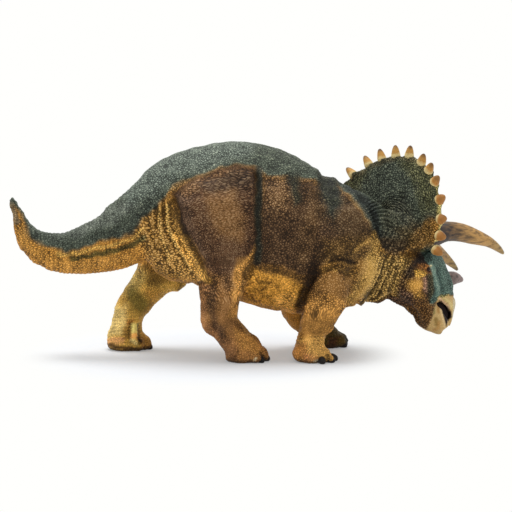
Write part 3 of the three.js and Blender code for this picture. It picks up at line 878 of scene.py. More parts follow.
# The paint, in the order it is sprayed and brushed on: outline, softness of its edge, strength, colour.
ochre = "ac7a34"
sprayed = [
    ([(0, 190), (20, 205), (36, 232), (60, 246), (100, 238), (141, 222), (165, 262), (120, 290)],
     8, 0.5, "b07c34"),
    ([(132, 236), (146, 216), (170, 196), (186, 228), (208, 282), (160, 276)], 10, 0.9, "8d6932"),
    ([(240, 262), (300, 272), (314, 300), (300, 338), (270, 318), (236, 304)], 10, 0.95, "c08a38"),
    ([(204, 262), (256, 254), (244, 287), (239, 300), (239, 318), (257, 336), (280, 362),
      (200, 368), (196, 300)], 5, 1, "7b562f"),
    ([(238, 244), (258, 232), (256, 262), (240, 300), (230, 296)], 10, 0.9, "bf8a44"),
    # The next, paler patch on the belly's front is painted light that lifts the shade under the belly.
    ([(272, 300), (300, 292), (304, 320), (290, 320)], 8, 0.8, "e6ac54"),
    ([(262, 176), (300, 176), (330, 186), (350, 200), (384, 236), (372, 262), (330, 262),
      (312, 280), (285, 270), (256, 262)], 12, 1, "4f3924"),
    ([(306, 184), (326, 188), (322, 215), (314, 250), (304, 268), (296, 262), (304, 215)],
     12, 0.35, "644a2b"),
    ([(173, 192), (195, 178), (217, 169.5), (238, 166), (254, 168), (257, 200), (257, 240),
      (246, 262), (228, 276), (212, 274), (205, 258), (192, 240), (179, 222)], 6, 1, "533925"),
    ([(176, 192), (196, 180), (188, 206), (200, 238), (212, 262), (200, 252), (182, 224)],
     8, 0.7, "634b39"),
    ([(176, 190), (196, 178), (238, 165), (256, 167), (256, 174), (214, 178), (186, 198)],
     4, 0.7, "6f4f30"),
    ([(196, 184), (240, 170), (253, 174), (252, 188), (214, 196)], 10, 0.75, "443324"),
    ([(206, 198), (234, 192), (246, 215), (240, 244), (216, 236)], 14, 0.8, "75532f"),
    ([(266, 178), (288, 178), (293, 196), (284, 214), (268, 208)], 12, 0.95, "6e5133"),
    ([(316, 196), (338, 186), (350, 200), (364, 220), (376, 242), (352, 246), (332, 230), (316, 214)],
     10, 1, "483520"),
    ([(324, 240), (372, 236), (384, 262), (378, 292), (352, 304), (336, 270), (320, 262)],
     14, 0.75, "72552a"),
    ([(300, 300), (318, 272), (350, 268), (352, 296), (330, 310), (300, 330)], 12, 0.85, "6f4e28"),
    ([(302, 302), (326, 296), (344, 302), (336, 318), (298, 320)], 10, 0.8, "b98542"),
    ([(298, 320), (336, 318), (330, 338), (292, 338)], 10, 0.8, "906733"),
    ([(166, 252), (186, 250), (204, 282), (176, 278)], 8, 0.7, "b58a48"),
    ([(290, 341), (330, 335), (342, 364), (288, 366)], 8, 0.9, "c8984f"),
    ([(292, 344), (304, 344), (308, 362), (290, 362)], 7, 0.6, "9c5f2e"),
    ([(302, 354), (318, 356), (318, 364), (302, 364)], 5, 0.5, "bf8052"),
    ([(216, 338), (246, 332), (266, 342), (278, 364), (214, 366)], 12, 0.8, "a2713d"),
    ([(200, 322), (218, 326), (236, 348), (234, 364), (222, 356), (206, 338)], 10, 0.55, "6a4a36"),
    ([(236, 330), (250, 332), (264, 346), (260, 354), (240, 350)], 8, 0.7, "b5813e"),
    ([(238, 262), (256, 256), (246, 288), (240, 318), (230, 318), (232, 290)], 8, 0.7, "bb8743"),
    ([(372, 258), (396, 258), (412, 262), (412, 280), (402, 306), (360, 308)], 10, 0.95, "b3904f"),
    ([(-20, 150), (5, 196), (14, 206), (21.7, 213), (25, 231), (36, 240), (49, 248), (65, 252),
      (87, 247), (108, 240), (130, 232), (141, 222), (152, 212), (163, 199), (173, 189),
      (195, 177), (217, 169), (238, 165.5), (255, 166), (266, 175), (286, 175), (338, 184),
      (347, 195), (357, 207), (366, 219), (374, 234), (384, 250), (404, 250), (412, 232), (430, 222),
      (452, 216), (450, 110), (0, 100)], 6, 1, "4e5548"),
    ([(20, 214), (56, 234), (100, 233), (126, 222), (152, 196), (160, 200), (130, 234), (60, 250),
      (24, 236)], 8, 0.65, "3b4138"),
    # The next three paler greens on the top of the tail and the back are a painted sheen, where the top
    # light falls.
    ([(60, 235), (100, 211), (132, 198), (140, 206), (112, 226), (78, 236)], 8, 0.6, "676c62"),
    ([(120, 190), (160, 150), (220, 132), (260, 134), (250, 154), (186, 174), (130, 204)],
     14, 0.75, "6a7368"),
    ([(20, 205), (50, 236), (90, 226), (60, 240), (30, 230)], 8, 0.5, "5e655a"),
    ([(316, 170), (342, 180), (340, 205), (334, 220), (326, 214), (320, 196)], 9, 1, "303227"),
    ([(288, 172), (300, 174), (300, 202), (292, 206)], 8, 0.9, "303125"),
    ([(384, 205), (402, 196), (418, 214), (416, 240), (396, 256), (384, 250)], 14, 0.6, "3e3c2e"),
    ([(396, 228), (436, 216), (436, 254), (410, 258), (400, 246)], 14, 0.7, "54452a"),
    ([(398, 160), (420, 158), (434, 176), (436, 214), (424, 214), (412, 178)], 12, 0.6, "5c5932"),
    ([(378, 234), (390, 236), (410, 240), (406, 254), (396, 260), (386, 256), (380, 248)],
     10, 0.9, "4a3a26"),
    ([(340, 180), (354, 184), (378, 204), (386, 236), (378, 242), (366, 216)], 6, 0.95, "2e342f"),
]
# The left legs, as they show between and behind the right ones.
far_sprayed = [
    ([(100, 262), (200, 262), (200, 300), (160, 352), (100, 352)], 12, 1, "c39a48"),
    ([(132, 268), (146, 264), (145, 284), (132, 294), (127, 284)], 8, 0.7, "b8a25e"),
    ([(147, 258), (162, 262), (170, 282), (158, 288), (147, 284)], 8, 0.8, "5f461c"),
    ([(146, 288), (164, 290), (152, 307), (145, 312)], 6, 0.6, "b8863a"),
    ([(123, 287), (133, 286), (147, 298), (150, 306), (140, 314), (130, 305)], 12, 0.8, "5a5220"),
    ([(110, 304), (126, 305), (126, 336), (105, 338)], 8, 0.85, "dcc078"),
    ([(126, 318), (134, 318), (132, 325), (126, 325)], 3, 0.7, "a5682a"),
    ([(123, 327), (130, 327), (131, 343), (122, 343)], 5, 0.8, "a47a32"),
    ([(131, 323), (138, 322), (138.5, 333), (131, 334)], 2.5, 0.9, "c3b468"),
    ([(131, 334), (138, 334), (138, 340), (131, 340)], 5, 0.6, "cb8c52"),
    ([(140, 336), (150, 338), (153, 348), (140, 348)], 3, 0.8, "9c7036"),
    ([(106, 339), (124, 340), (124, 345), (108, 345)], 3, 0.7, "d89c66"),
    ([(300, 310), (356, 310), (356, 352), (300, 352)], 6, 1, "4b3c18"),
    ([(326, 336), (338, 336), (336, 347), (326, 347)], 5, 0.8, "4a2c1a"),
]
# Brush lines: a line, its width, its strength, and its colour.
brushed = [
    ([(70, 258), (87, 257), (108, 252.5), (130, 244.5), (142, 238)], 3.0, 0.9, "4a431e"),
    ([(58, 255), (85, 252), (108, 246.5), (128, 238.5), (144, 229)], 1.8, 0.8, "c2984c"),
    ([(22, 226), (30, 248), (52, 264), (90, 267), (126, 258)], 5, 0.5, "bd8a42"),
    ([(176, 236), (184, 250), (195, 265), (206, 280)], 4, 1, "e0aa54"),
    ([(167, 204), (170, 230), (177, 250), (190, 270)], 1.8, 0.8, "c09a54"),
    ([(160, 208), (162, 236), (170, 260)], 1.5, 0.6, "bd9650"),
    ([(258.5, 168), (259, 200), (259, 232), (257, 262)], 3.6, 1, "46463a"),
    ([(176, 200), (181, 222), (192, 243), (206, 264)], 2, 0.6, "3c3026"),
    ([(210, 288), (212, 306), (216, 324), (222, 336)], 4, 0.55, "5a422e"),
    ([(228, 262), (226, 284)], 7, 0.5, "5c432e"),
    ([(250, 266), (242, 288), (239, 302), (239, 318), (250, 333)], 2.5, 0.5, "b08a55"),
    # The next two dark lines in the armpit are painted shade, where the fore leg meets the trunk.
    ([(299, 312), (303, 296), (309, 284), (318, 275)], 4, 0.8, "38240f"),
    ([(309, 286), (311, 278), (314, 268)], 6, 0.9, "38240f"),
    # A paler line at the tail's tip is a painted highlight.
    ([(10, 200), (13, 212), (16, 222)], 3, 0.6, "5e665c"),
    # The next two pale dabs beside the front nails are painted glints.
    ([(254, 361), (256.5, 358.5)], 1.5, 0.9, "ecd8ac"),
    ([(313, 362), (317, 361)], 1.5, 0.8, "ecd8ac"),
    ([(333, 262), (345, 258.5), (357, 262.5)], 1.8, 0.85, "3a2813"),
    ([(325, 270), (338, 268.5), (353, 272)], 2, 0.6, "b58a48"),
    ([(376, 236), (374, 252), (366, 268), (358, 288), (352, 300)], 4, 0.4, "a8854a"),
    ([(355, 250), (366, 244), (374, 240)], 3, 0.5, "b68c48"),
    ([(254, 262), (268, 269), (288, 273), (304, 280)], 4, 0.6, "4e3822"),
    ([(438, 172), (438, 190), (440, 210), (441, 232), (437, 250)], 3, 0.9, "b9ad6a"),
    ([(350, 178), (372, 164), (396, 157), (416, 160), (428, 170)], 3, 0.5, "5c4e30"),
    ([(376, 236), (377, 254), (372, 272), (362, 288), (350, 300)], 5, 0.7, "a07c3c"),
    ([(348, 196), (358, 207), (366, 219), (374, 234)], 3, 0.25, "80602f"),
    ([(242, 285), (243, 291), (247, 294), (250, 290)], 0.8, 0.55, "6a4116"),
    ([(253, 296), (256, 300), (261, 300), (263, 295)], 0.8, 0.55, "6a4116"),
    ([(247, 279), (250, 284), (254, 282)], 0.8, 0.5, "6a4116"),
    ([(257, 278), (260, 284), (264, 282)], 0.8, 0.5, "6a4116"),
    ([(267, 279), (270, 285), (274, 283)], 0.8, 0.5, "6a4116"),
    ([(255, 288), (260, 292), (266, 290)], 0.9, 0.5, "5a3512"),
    ([(386, 258), (382, 274), (372, 292), (362, 303)], 1.5, 0.6, "4a3a1c"),
    ([(393, 258), (389, 274), (380, 292), (372, 303)], 1.3, 0.6, "4a3a1c"),
    ([(399, 260), (396, 276), (388, 292)], 1.3, 0.6, "3e2f1a"),
    ([(205, 286), (203, 304), (204, 324), (214, 338)], 4, 0.7, "96683f"),
]
far_brushed = [
    ([(132.5, 342), (135, 343)], 2.2, 0.9, "cdb572"),
    ([(138.5, 338), (141, 343)], 1.8, 0.9, "2e1a0c"),
    ([(109, 346), (124, 349), (140, 350), (153, 347)], 2.4, 0.85, "4a2c14"),
    ([(346, 340), (350, 342)], 2.5, 0.9, "1c201c"),
]


def lay(coat, mask, colour):
    """The coat with a colour over it, as thick as the mask."""
    return coat * (1 - mask[:, None]) + np.array(rgb(colour)) * mask[:, None]


def painted(coat, spots, sprayed, brushed, part=1):
    """The coat with paint sprayed and then brushed over it, for spots in photograph pixels."""
    for outline, soft, strength, colour in sprayed:
        coat = lay(coat, strength * within(outline, spots, soft) * part, colour)
    for line, wide, strength, colour in brushed:
        coat = lay(coat, strength * near(line, spots, wide, 4) * part, colour)
    return coat


ragged_edge = 0.9
ragged_pitch = 2.2
ragged = np.stack([wander(points, ragged_pitch) for _ in range(2)], 1)
base = np.tile(rgb(ochre), (len(points), 1))
coat = painted(base, body_px + ragged_edge * ragged, sprayed, brushed)
leg_coat = painted(base, leg_px + ragged_edge * ragged, far_sprayed, far_brushed)
coat = coat * (1 - far_leg[:, None]) + leg_coat * far_leg[:, None]

# The left legs' outer faces, which the photograph doesn't show, and painted contact shade darkening the
# bottom of every sole.
outer_strength = 0.85
outer_facing = (-0.1, 0.6)
outer_heights = (22, 40)
sole_shade_strength = 0.75
sole_shade_heights = (0.5, 2.6)
outside = outer_strength * ramp(normals_of(hide)[:, 1], *outer_facing) * far_leg
high = ramp(points[:, 2], *outer_heights)
outer_coat = lay(np.tile(rgb("825930"), (len(points), 1)), high, "5a3f28")
coat = coat + (outer_coat - coat) * outside[:, None]
legs = sum(on[name] for name in leg_names)
# Painted contact shade: the lowest millimetres of every leg are darkened.
coat = lay(coat, sole_shade_strength * legs * (1 - ramp(points[:, 2], *sole_shade_heights)), "2e2318")

# The face and the beak are painted alike on both sides.
face_sprayed = [
    ([(402, 250), (414, 250), (430, 252), (444, 300), (444, 334), (420, 330), (396, 306)],
     8, 0.9, "5f4325"),
    # The next two dark patches, under the frill behind the eye, are painted shade in the hollow there.
    ([(402, 252), (416, 251), (428, 255), (428, 265), (415, 266), (408, 276), (401, 272)],
     5, 1, "30241c"),
    ([(404, 262), (412, 262), (416, 276), (408, 284), (402, 282)], 6, 0.6, "3c2d1b"),
    ([(398, 288), (410, 290), (417, 300), (412, 308), (400, 302)], 6, 0.8, "553d30"),
    ([(417, 264), (428, 263), (428, 271), (418, 272)], 4, 0.9, "93602e"),
    ([(415, 270), (427, 270.5), (424, 277), (415, 277)], 3, 0.95, "c89a44"),
    ([(406, 281), (418, 278), (423, 284), (423, 297), (416, 298), (409, 290)], 7, 0.9, "b08239"),
    ([(423, 278), (427, 276), (429.5, 286), (428.5, 294), (424, 291)], 4, 0.8, "a88068"),
    ([(428, 272), (433, 276), (437, 296), (434, 305), (429, 302), (428, 288)], 4, 0.9, "4f4d38"),
    ([(412, 300), (430, 304), (430, 322), (424, 326), (412, 312)], 8, 0.6, "64441f"),
    ([(422, 254), (427, 262), (430, 270), (433, 280), (435, 291), (430, 303), (436, 302),
      (441, 297), (448, 295), (460, 296), (470, 292), (470, 262), (452, 238), (430, 238)],
     1.8, 1, "4d6258"),
]
face_brushed = [
    # A pale line along the brow ridge's edge is a painted highlight.
    ([(424, 255), (430, 266), (434, 276), (437.5, 288)], 1.2, 0.35, "6d8074"),
    ([(438, 262), (443, 272), (447, 286)], 2.2, 0.4, "62776b"),
    ([(434, 264), (439, 278), (442, 290)], 1.8, 0.5, "2c3f3a"),
    ([(438, 298), (442, 295.5), (447, 296), (454, 298)], 1.3, 0.7, "a39a58"),
    ([(425, 271), (429, 271)], 2.0, 0.9, "4a2410"),
    # A cream dot on the eye is a painted glint.
    ([(429.2, 265.8), (429.4, 266)], 0.8, 0.8, "cdbd90"),
    ([(411, 253), (424, 254)], 1.6, 0.6, "8c8748"),
]
beak_edge = [(438, 297.5), (436, 306), (433, 316), (428, 327), (424, 340), (470, 340), (470, 297),
             (456, 297), (448, 296)]
mouth_edge = [(439, 299.3), (442.3, 302), (444.4, 304.4), (448.4, 307.2), (451.2, 311.8), (451.5, 317),
              (448.4, 319.8), (446.3, 327), (444.9, 321), (442.5, 313.5), (440, 304.4)]
muzzle_at = (12, 16)
face_at = (-8, -3)
face_ragged = 0.5
beak_ragged = 0.8
face_px = folded_px + face_ragged * ragged
ahead = in_head(points)[:, 0]
coat = painted(coat, face_px, face_sprayed, face_brushed, ramp(ahead, *face_at) * headness)
muzzle = ramp(ahead, *muzzle_at) * headness
beak = within(beak_edge, folded_px + beak_ragged * ragged, 2.5) * muzzle
coat = lay(coat, beak, "c2a26a")

# The beak's brush lines: pale lips and rims, brown grooves and stains. The mouth is painted dark inside,
# with painted shade on the inner faces that show through it.
beak_brushed = [
    ([(444, 298.5), (449, 302), (452, 307)], 2.0, 0.8, "d6c284"),
    ([(454, 300), (454.5, 308), (452.5, 318)], 1.4, 0.8, "c9c0a4"),
    ([(442.3, 300), (445, 302.6), (448, 304.4)], 0.8, 0.7, "7c4c28"),
    ([(439.5, 298.2), (442.3, 301), (445, 303.8), (449.5, 307.5)], 0.9, 0.8, "dcb793"),
    ([(438.5, 304), (438.8, 312)], 1.6, 0.8, "a2783e"),
    ([(436, 319), (436.5, 324)], 2.2, 0.8, "866a32"),
    ([(439, 322), (438, 328), (434, 330)], 1.8, 0.6, "a97a3e"),
    ([(433.5, 305), (434, 313)], 1.6, 0.8, "70703e"),
    ([(440.3, 307), (442, 316), (444.2, 322), (445, 327)], 1.1, 0.8, "d8bc8c"),
]
coat = painted(coat, folded_px, [], beak_brushed, beak)
# The mouth's dark paint, with painted shade on the inner faces that show through it.
inner = normals_of(hide) @ view_back > 0
shaded_mouth_mask = np.maximum(within(mouth_edge, folded_px, 1.2), within(mouth_edge, own_px, 1.2) * inner)
coat = lay(coat, shaded_mouth_mask * muzzle, "1c0b07")

# The frill's paint is made paler, a painted light that lifts the shade the frill stands in.
frill_back = [(350, 176), (380, 158), (412, 152), (436, 168), (444, 214), (436, 250), (396, 250),
              (372, 230)]
frill_painted_light = 0.25
coat[:, :3] *= 1 + frill_painted_light * (within(frill_back, body_px, 8) * headness)[:, None]

# How high each point stands in the relief, and how strongly the scales are picked out, by area.
relief_full = 0.5
depth = np.clip(relief / relief_full, -1, 1)
shin_px = (296, 324)
shin_fainter = 0.4
tail_fainter = 0.3
far_leg_fainter = 0.3
wear_limits = (0.4, 1.7)
thigh = [(173, 192), (217, 169.5), (254, 168), (257, 240), (240, 262), (205, 258)]
tan_patch = [(266, 178), (288, 178), (293, 196), (284, 214), (268, 208)]
crown_paint = face_sprayed[-1][0]
near_side = 1 - far_leg
wear = 1 - shin_fainter * legs * ramp(body_px[:, 1], *shin_px)
wear -= tail_fainter * tailness
wear -= far_leg_fainter * far_leg
for amount, outline, spots, soft, part in (
    (-0.2, belly, body_px, 10, 1 - legs),
    (-0.3, crown_paint, folded_px, 4, headness),
    (0.3, frill_back, body_px, 8, headness),
    (0.3, thigh, body_px, 8, near_side),
    (0.25, jaw_folds, folded_px, 8, headness),
    (0.4, tan_patch, body_px, 8, near_side),
    (0.35, rump, body_px, 12, near_side),
    (0.6, neck_folds, body_px, 12, near_side),
):
    wear += amount * within(outline, spots, soft) * part
wear = np.clip(wear, *wear_limits)


def dressed(tree, colour, roughness, grain, depth, strength, **sockets):
    """Vinyl under paint: its colour and roughness, and how deep and how strongly its grain shows."""
    bump = tree.node("ShaderNodeBump", None, Strength=strength, Distance=depth * MM, Height=grain)
    shader = tree.node(
        "ShaderNodeBsdfPrincipled",
        None,
        Base_Color=colour,
        Roughness=roughness,
        Normal=bump,
        **sockets,
    )
    tree.node("ShaderNodeOutputMaterial", None, shader)


def kept(name, port="Fac"):
    """A number, a direction or a colour that was kept for each point of the mesh."""
    return tree.node("ShaderNodeAttribute", {"attribute_name": name})[port]


vinyl, tree = new_paint("painted_vinyl")
plate_painted = (0.04, 0.26)
scale_middle = 0.62
scale_contrast = 0.8
scale_variety = 0.1
pore_contrast = 0.7
speckle_contrast = 0.25
fold_shade_contrast = 0.4
highest_light = 2.35
deepest_shade = 0.25
tip_from = (0.75, 1.3)
tip_light = 0.36
beak_plain = 0.85
beak_flat = 0.9
skin_roughness = 0.62
scale_gloss = 0.14
skin_bump = 0.16
paint = kept("paint", "Color")
grain_at = kept("grain", "Vector")
pebbles = tree.node("ShaderNodeTexVoronoi", edge_of, Vector=grain_at, Scale=1 / pebble_pitch)
platelets = tree.node("ShaderNodeTexVoronoi", edge_of, Vector=grain_at, Scale=1 / plate_pitch)
shades = tree.node("ShaderNodeTexVoronoi", None, Vector=grain_at, Scale=1 / pebble_pitch)["Color"]
choice = kept("plates")
hard = kept("beakness")
height = pebbles.rising(*pebble_slope) * (1 - choice) + platelets.rising(*plate_painted) * choice
chosen = tree.node("ShaderNodeSeparateColor", None, shades)
speckle = tree.node("ShaderNodeTexNoise", None, Vector=grain_at, Scale=0.6, Detail=2)
pores = tree.node("ShaderNodeTexNoise", None, Vector=grain_at, Scale=1.35, Detail=2, Roughness=0.7)
cells = (height - scale_middle) * scale_contrast + (chosen - 0.5) * scale_variety
cells = cells + (pores - 0.5) * pore_contrast
# The relief's folds are darkened, a dark wash with painted shade, and its ridges lightened, a painted
# light.
worn = cells * kept("wear") + (speckle - 0.5) * speckle_contrast + kept("fold") * fold_shade_contrast + 0.5
worked = tree.blend(worn.rising(0.0, 1.0), paint.scaled(deepest_shade), paint.scaled(highest_light))
worked = tree.blend(worn.rising(*tip_from, tip_light) * (1 - hard), worked, rgb("b3a07c"))
worked = tree.blend(hard * beak_plain, worked, paint)
sheen = skin_roughness - height * scale_gloss
felt = height * (1 - hard * beak_flat)
dressed(tree, worked, sheen, felt, skin_bump, 0.9, Specular_IOR_Level=0.12)

rim_depth = 1.2
quads = read(hide.loops, "vertex_index", np.int32).reshape(-1, 4)
kept_layers = {
    "paint": coat,
    "plates": plates,
    "beakness": beak,
    "fold": depth,
    "wear": wear,
    "grain": grain,
}


def closed_share(mine, name):
    """The faces of one lump, with each open edge turned in and capped inside the figure."""
    used, local = np.unique(mine, return_inverse=True)
    mesh = bpy.data.meshes.new(name)
    mesh.from_pydata((points[used] * MM).tolist(), [], local.reshape(-1, 4).tolist())
    for layer, values in kept_layers.items():
        store(mesh, layer, values[used])
    mesh.polygons.foreach_set("use_smooth", [True] * len(mesh.polygons))
    form = bmesh.new()
    form.from_mesh(mesh)
    form.normal_update()
    rim = [edge for edge in form.edges if edge.is_boundary]
    inward = {v: -v.normal.copy() for edge in rim for v in edge.verts}
    turned = bmesh.ops.extrude_edge_only(form, edges=rim)["geom"]
    for v in turned:
        if isinstance(v, bmesh.types.BMVert):
            source = next(e.other_vert(v) for e in v.link_edges if e.other_vert(v) in inward)
            v.co = source.co + inward[source] * rim_depth * MM
    for edge in rim:
        edge.smooth = False
    loose = [edge for edge in form.edges if edge.is_boundary]
    bmesh.ops.holes_fill(form, edges=loose, sides=0)
    bmesh.ops.triangulate(form, faces=[face for face in form.faces if len(face.verts) > 4])
    form.to_mesh(mesh)
    form.free()
    return mesh


face_owner = owner[quads[:, 0]]
for k, (name, slot) in enumerate(lumps.items()):
    mesh = closed_share(quads[face_owner == k], f"hide_{name}")
    mesh.materials.append(vinyl)
    lump_hide = object_of(mesh, f"hide_{name}")
    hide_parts(name)
    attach(lump_hide, "root")
bpy.data.meshes.remove(hide)

# Horns: three lumps of harder vinyl, glued into the skull. Each is streaked along its length, dark at
# the root and rubbed pale towards the blunt tip.
horn_fineness = 0.35
horn_swell = 0.1
horn_easing = 8
horn_bend = 1.5
shaft_from = (0.28, 0.6)
tip_start = (0.75, 1.0)
streak_stretch = (0.25, 1, 1)
streak_from = (0.38, 0.56)
streak_dark = 0.45
streak_waver = 0.3
# Where the root is in the head's frame, the colours of root, shaft and tip, the droop and the growth.
horns = {
    "brow_horn_right": ((-3.1, -7, 7.5), ("3f2e24", "b98d4e", "a08654"), 1.0, 0.02),
    "brow_horn_left": ((-3.1, 7, 7.5), ("5d4630", "a8824a", "98814f"), 2.9, 0.03),
    "nose_horn": ((19.2, 0, 9.4), ("5c4c44", "86706a", "94807a"), 1.0, 0),
}
for name, (root, (root_colour, shaft_colour, tip_colour), droop, growth) in horns.items():
    mesh = moulded([name], f"horn_{name}", horn_fineness, horn_swell)
    horn_points = eased(points_of(mesh), edges_of(mesh), horn_easing)
    root_at = off_head(np.array(root))
    reach = np.linalg.norm(horn_points - root_at, axis=1)
    outward = reach / reach.max()
    horn_points += (horn_points - root_at) * growth * outward[:, None]
    horn_points[:, 2] -= droop * outward**horn_bend
    set_points(mesh, horn_points)
    store(mesh, "share", outward)
    store(mesh, "grain", horn_points)
    horn_coat, tree = new_paint(f"painted_{name}")
    stretched = tree.node(
        "ShaderNodeVectorMath", {"operation": "MULTIPLY"}, kept("grain", "Vector"), streak_stretch
    )
    streak = tree.node("ShaderNodeTexNoise", None, Vector=stretched, Scale=0.9, Detail=4)
    along = kept("share") + (streak - 0.5) * streak_waver
    coat = tree.blend(along.rising(*shaft_from), rgb(root_colour), rgb(shaft_colour))
    coat = tree.blend(along.rising(*tip_start), coat, rgb(tip_colour))
    coat = tree.blend(streak.rising(*streak_from), coat.scaled(streak_dark), coat)
    dressed(tree, coat, 0.5, streak, 0.1, 0.6)
    mesh.materials.clear()
    mesh.materials.append(horn_coat)
    horn = object_of(mesh, f"painted_{name}")
    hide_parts(name)
    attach(horn, "root")

# Spikes: a row of blunt cones round the rim of the frill, raised in the head's mould and picked out
# with ochre paint and a cream dry brush. They stand at the turns at which the photograph shows them,
# as far as it does.
spike_profile = [(-0.35, 1.2), (0, 1.16), (0.22, 1.0), (0.5, 0.86), (0.75, 0.64), (0.92, 0.4), (1, 0.12)]
spike_long = 4.1
spike_wide = 1.72
spike_flat = 1.05
shown_turns = [-124, -109, -95, -81, -68, -58, -48, -32.5, -15.5, 2.5,
               19, 37, 52, 62, 71, 82, 95, 109, 124]
side_stand = 0.06
stand_turns = (52, 80)
side_broad = 0.08
broad_turns = (62, 80)
crown_least = 0.3
crown_turns = (50, 80)
crown_ochre = 0.3
ochre_from = (0.3, 0.62)
tip_brown_from = (0.55, 0.95)
patch_waver = 0.5


def ring(centre, across, through, count=12):
    """Points on the ellipse that two directions span round a centre."""
    angles = 2 * math.pi * np.arange(count)[:, None] / count
    return centre + across * np.cos(angles) + through * np.sin(angles)


def ringed(rings, name):
    """A closed mesh through rings of points that all have one count."""
    form = bmesh.new()
    loops = [[form.verts.new(Vector(p) * MM) for p in points_round] for points_round in rings]
    count = len(loops[0])
    for low, high in zip(loops[:-1], loops[1:]):
        for k in range(count):
            form.faces.new((low[k], low[(k + 1) % count], high[(k + 1) % count], high[k]))
    form.faces.new(loops[0][::-1])
    form.faces.new(loops[-1])
    return mesh_of(form, name)


def joined(meshes, name, material, rounding=0):
    """One painted piece of several meshes, rounded by so many steps, that rides on the figure."""
    form = bmesh.new()
    for mesh in meshes:
        form.from_mesh(mesh)
        bpy.data.meshes.remove(mesh)
    mesh = mesh_of(form, name)
    piece = object_of(mesh, name)
    if rounding:
        rounder = piece.modifiers.new("rounding", "SUBSURF")
        rounder.levels = rounding
        rounder.render_levels = rounding
        mesh = evaluated(piece)
        piece = object_of(mesh, name)
    mesh.materials.clear()
    mesh.materials.append(material)
    mesh.polygons.foreach_set("use_smooth", [True] * len(mesh.polygons))
    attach(piece, "root")
    return piece


spikes = []
for turn in shown_turns:
    foot = rim_point(turn, 1 + side_stand * float(ramp(abs(turn), *stand_turns)))
    out = rim_aim(turn, foot)
    across = np.cross(frill_out, out)
    across /= np.linalg.norm(across)
    through = np.cross(out, across)
    broad = spike_wide * (1 + side_broad * float(ramp(abs(turn), *broad_turns)))
    rings = []
    for share, wide in spike_profile:
        centre = foot + out * share * spike_long
        rings.append(off_head(ring(centre, spike_flat * wide * broad * across, wide * broad * through)))
    spikes.append(ringed(rings, "spike"))
spike_coat, tree = new_paint("painted_spikes")
spike_row = joined(spikes, "frill_spikes", spike_coat, 1)
spots = in_head(points_of(spike_row.data)) - frill_middle
turns = np.degrees(np.arctan2(spots[:, 1], spots @ frill_up))
stands = np.hypot(spots[:, 1], spots @ frill_up) - rim_at(turns)
store(spike_row.data, "share", stands / spike_long)
store(spike_row.data, "crown", 1 - (1 - crown_least) * ramp(np.abs(turns), *crown_turns))
spot = tree.node("ShaderNodeTexCoord")["Object"]
patchy = tree.node("ShaderNodeTexNoise", None, Vector=spot, Scale=600, Detail=4)
along = kept("share") + (patchy - 0.5) * patch_waver
crown = kept("crown")
shaft = tree.blend(crown, rgb("b0743a"), rgb("b98a46"))
coat = tree.blend((along + crown * crown_ochre).rising(*ochre_from), rgb("dcc68a"), shaft)
coat = tree.blend(along.rising(*tip_brown_from) * crown, coat, rgb("5c4028"))
dressed(tree, coat, patchy * 0.2 + 0.4, patchy, 0.1, 0.5, Specular_IOR_Level=0.2)

# Nails: blunt hooves at the ends of the toes, raised in the legs' moulds and brushed with glossy
# black. They stand in a row round the front of each sole.
nail_radius = 1.65
nail_profile = [(-0.9, 0.8), (-0.5, 1.0), (0.1, 1.02), (0.6, 0.86), (1.0, 0.62), (1.3, 0.3)]
nail_level = 0.86
nail_droop = 0.18
nail_inset = 0.6
nail_broad = 0.95
nail_high = 1.1
# Each sole's middle, its reach ahead and aside, and the turns of its toes from straight ahead.
soles = {
    "hind_leg_right": ((-9, -24.81), 8.8, 8.4, (-44, -8, 26, 60)),
    "hind_leg_left": ((-53.26, 13.15), 8.96, 8.64, (-12, 22, 56)),
    "fore_leg_right": ((18.14, -28.19), 8.4, 8.61, (-72, -38, -4, 40)),
    "fore_leg_left": ((28.74, 12.32), 7.7, 8.4, (-30, 6, 44)),
}


def plain_finish(name, colour, second, roughness, scale):
    """Paint of two tones that wander into each other, with a slightly uneven gloss coat."""
    made, tree = new_paint(name)
    place = tree.node("ShaderNodeTexCoord")["Object"]
    patchy = tree.node("ShaderNodeTexNoise", None, Vector=place, Scale=scale, Detail=4)
    coat = tree.blend(patchy.rising(0.25, 0.75), rgb(colour), rgb(second))
    dressed(tree, coat, patchy * 0.1 + roughness, patchy, 0.06, 0.4, Specular_IOR_Level=0.2)
    return made


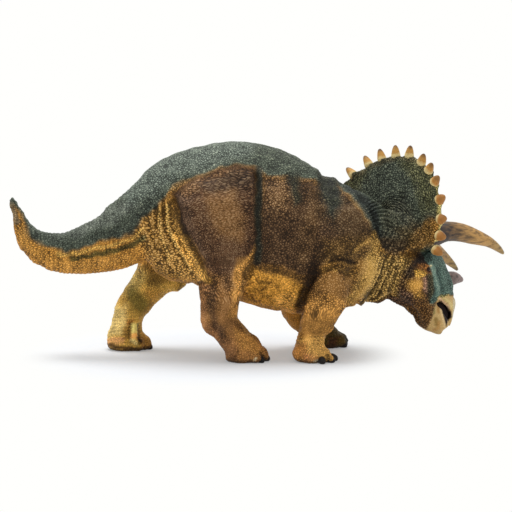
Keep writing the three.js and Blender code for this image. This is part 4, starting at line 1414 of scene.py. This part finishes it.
black = plain_finish("nail_black", "0c0a08", "231b18", 0.5, 500)
for name, (middle, ahead, aside, turns) in soles.items():
    nails = []
    for turn in np.radians(turns):
        aim = np.array([math.cos(turn), math.sin(turn), 0])
        square = np.array([-aim[1], aim[0], 0])
        reach = 1 / math.hypot(aim[0] / ahead, aim[1] / aside) - nail_inset
        rings = []
        for share, wide in nail_profile:
            centre = np.array([*middle, 0]) + aim * (reach + share * nail_radius)
            centre[2] = nail_radius * (nail_level - nail_droop * max(share, 0))
            half = wide * nail_radius
            nail_ring = ring(centre, nail_broad * half * square, np.array([0, 0, nail_high * half]))
            nail_ring[:, 2] = np.maximum(nail_ring[:, 2], 0)
            rings.append(nail_ring)
        nails.append(ringed(rings, "nail"))
    joined(nails, f"nails_{name}", black, 1)

# Eyes: small beads raised in the head's mould, painted dark under a gloss coat. Each sits where the
# skull's side shows the eye in the photograph, and the other one mirrors it.
eye_spot = (427.6, 269.2)
eye_radius = 0.95
eyes = []
seen = (points[:, 1] < head_at[1]) & (headness > 0.5)
nearest = np.hypot(*(on_photo(points[seen]) - np.array(eye_spot)).T).argmin()
eye_at = in_head(points[seen][nearest])
for side in (-1, 1):
    form = bmesh.new()
    bmesh.ops.create_icosphere(form, subdivisions=3, radius=eye_radius * MM)
    place = off_head(np.array([eye_at[0], side * abs(eye_at[1]), eye_at[2]]))
    bmesh.ops.translate(form, verts=form.verts, vec=Vector(place) * MM)
    eyes.append(mesh_of(form, "eye"))
joined(eyes, "eyes", plain_finish("eye_gloss", "0d0805", "241308", 0.3, 900))

# Mouth: the dark hollow between the two beaks, lined with vinyl that is painted nearly black inside; the
# black is also painted shade deep in the hollow.
# Each row of its sections is a place ahead of the eyes, a half width, a top and a bottom.
mouth_sections = [
    (14, 3, -4, -10),
    (19, 3.2, -1.6, -9.5),
    (22, 3.2, -1, -9),
    (26, 2.3, -0.8, -8.5),
    (29, 1, -3, -8),
]
rings = []
for ahead, half, top, bottom in mouth_sections:
    centre = np.array([ahead, 0, (top + bottom) / 2])
    across = np.array([0, half, 0])
    rings.append(off_head(ring(centre, across, np.array([0, 0, (top - bottom) / 2]))))
# Near-black paint that also stands for the shade inside the mouth.
lining_paint_and_shade = plain_finish("mouth_black_and_shade", "0e0605", "1c0e0b", 0.8, 400)
joined([ringed(rings, "mouth")], "mouth_lining", lining_paint_and_shade, 1)
